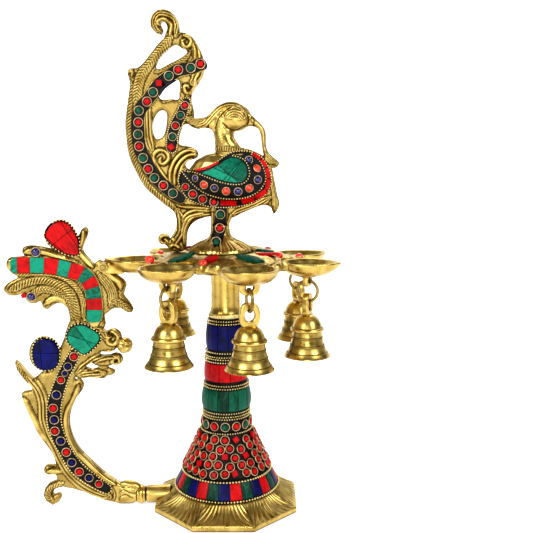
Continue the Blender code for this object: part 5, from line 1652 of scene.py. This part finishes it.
class LampFinish(bpy.types.PropertyGroup):
    brass_roughness: FloatProperty(name="Brass roughness", description="Roughness of the polished casting",
                                   default=0.27, min=0.05, max=0.8, subtype="FACTOR")
    casting_detail: FloatProperty(name="Casting detail",
                                  description="Finest detail of the handle and peacock castings",
                                  default=0.00045, min=0.0003, max=0.002, precision=5, unit="LENGTH",
                                  subtype="DISTANCE")
    brass_colour: colour_setting("Polished brass", "#D8BC6C", "Cups, bells and neck tube where polished")
    relief_brass_colour: colour_setting("Relief brass", "#D4BA70", "Foot, tray, handle and peacock")
    old_brass_colour: colour_setting("Aged brass", "#B09758", "Bell rings, clappers and fasteners")
    coral_colour: colour_setting("Coral", "#C40207", "Red stones")
    malachite_colour: colour_setting("Malachite", "#045A42", "Green stones of the column and bezels")
    bright_malachite_colour: colour_setting("Bright malachite", "#0D8A6C", "Wing, heart and striped band")
    lapis_colour: colour_setting("Lapis", "#040B5C", "Blue stones")
    navy_glass_colour: colour_setting("Navy glass", "#14146A", "Dark blue cabochons")
    red_glass_colour: colour_setting("Red glass", "#FF3A14", "Orange red cabochons")


class LampStage(bpy.types.PropertyGroup):
    light_power: FloatProperty(name="Light power", description="Power of the main soft box in watts",
                               default=15.0, min=0.0, unit="POWER")
    camera_place: FloatVectorProperty(name="Camera place", description="Where the camera stands",
                                      default=(0.0266, -0.48, 0.224), size=3, subtype="TRANSLATION",
                                      unit="LENGTH")
    camera_pitch: FloatProperty(name="Camera pitch", description="Degrees the camera looks down",
                                default=7.7, min=-45.0, max=60.0)
    camera_lens: FloatProperty(name="Camera lens", description="Focal length in millimetres",
                               default=50.5, min=10.0, max=200.0, unit="CAMERA")


class LampOperator:
    bl_options = {"REGISTER", "UNDO"}

    def execute(self, context):
        type(self).build()
        return {"FINISHED"}


class LAMP_OT_foot(LampOperator, bpy.types.Operator):
    """Build the fluted octagonal foot, its socket and the ferrule"""
    bl_idname, bl_label = "lamp.foot", "Foot"
    build = staticmethod(build_foot)


class LAMP_OT_column(LampOperator, bpy.types.Operator):
    """Build the column, its stonework, its bead strings and the neck"""
    bl_idname, bl_label = "lamp.column", "Column"
    build = staticmethod(build_column)


class LAMP_OT_fasteners(LampOperator, bpy.types.Operator):
    """Finish the tie rod, the nuts, the stud and the bolt"""
    bl_idname, bl_label = "lamp.fasteners", "Fasteners"
    build = staticmethod(build_fasteners)


class LAMP_OT_cups(LampOperator, bpy.types.Operator):
    """Build the seven oil cups and the webs below them"""
    bl_idname, bl_label = "lamp.cups", "Oil cups"
    build = staticmethod(build_cups)


class LAMP_OT_tray(LampOperator, bpy.types.Operator):
    """Build the tray plate, its petals and its cabochons"""
    bl_idname, bl_label = "lamp.tray", "Tray"
    build = staticmethod(build_tray)


class LAMP_OT_bells(LampOperator, bpy.types.Operator):
    """Build the five bells with their rings and clappers"""
    bl_idname, bl_label = "lamp.bells", "Bells"
    build = staticmethod(build_bells)


class LAMP_OT_handle(LampOperator, bpy.types.Operator):
    """Build the handle casting and its stonework"""
    bl_idname, bl_label = "lamp.handle", "Handle"
    build = staticmethod(build_handle)


class LAMP_OT_peacock(LampOperator, bpy.types.Operator):
    """Build the peacock casting and its stonework"""
    bl_idname, bl_label = "lamp.peacock", "Peacock"
    build = staticmethod(build_peacock)


class LAMP_OT_stage(LampOperator, bpy.types.Operator):
    """Build the floor, the backdrop, the lights and the camera"""
    bl_idname, bl_label = "lamp.stage", "Stage"
    build = staticmethod(build_stage)


OPERATORS = (LAMP_OT_foot, LAMP_OT_column, LAMP_OT_fasteners, LAMP_OT_cups, LAMP_OT_tray, LAMP_OT_bells,
             LAMP_OT_handle, LAMP_OT_peacock, LAMP_OT_stage)


class LAMP_PT_panel(bpy.types.Panel):
    """The lamp's settings and a button for each group of pieces"""
    bl_idname, bl_label = "LAMP_PT_panel", "Oil Lamp"
    bl_space_type, bl_region_type, bl_category = "VIEW_3D", "UI", "Oil Lamp"

    def draw(self, context):
        layout = self.layout
        for settings in (context.scene.lamp_finish, context.scene.lamp_stage):
            for name in type(settings).__annotations__:
                layout.prop(settings, name)
        for operator in OPERATORS:
            layout.operator(operator.bl_idname)


CLASSES = (LampFinish, LampStage, *OPERATORS, LAMP_PT_panel)


def register():
    for item in CLASSES:
        bpy.utils.register_class(item)
    bpy.types.Scene.lamp_finish = PointerProperty(type=LampFinish)
    bpy.types.Scene.lamp_stage = PointerProperty(type=LampStage)


def unregister():
    del bpy.types.Scene.lamp_stage
    del bpy.types.Scene.lamp_finish
    for item in reversed(CLASSES):
        bpy.utils.unregister_class(item)


def main():
    register()
    for operator in OPERATORS:
        group, name = operator.bl_idname.split(".")
        getattr(getattr(bpy.ops, group), name)()


if __name__ == "__main__":
    main()
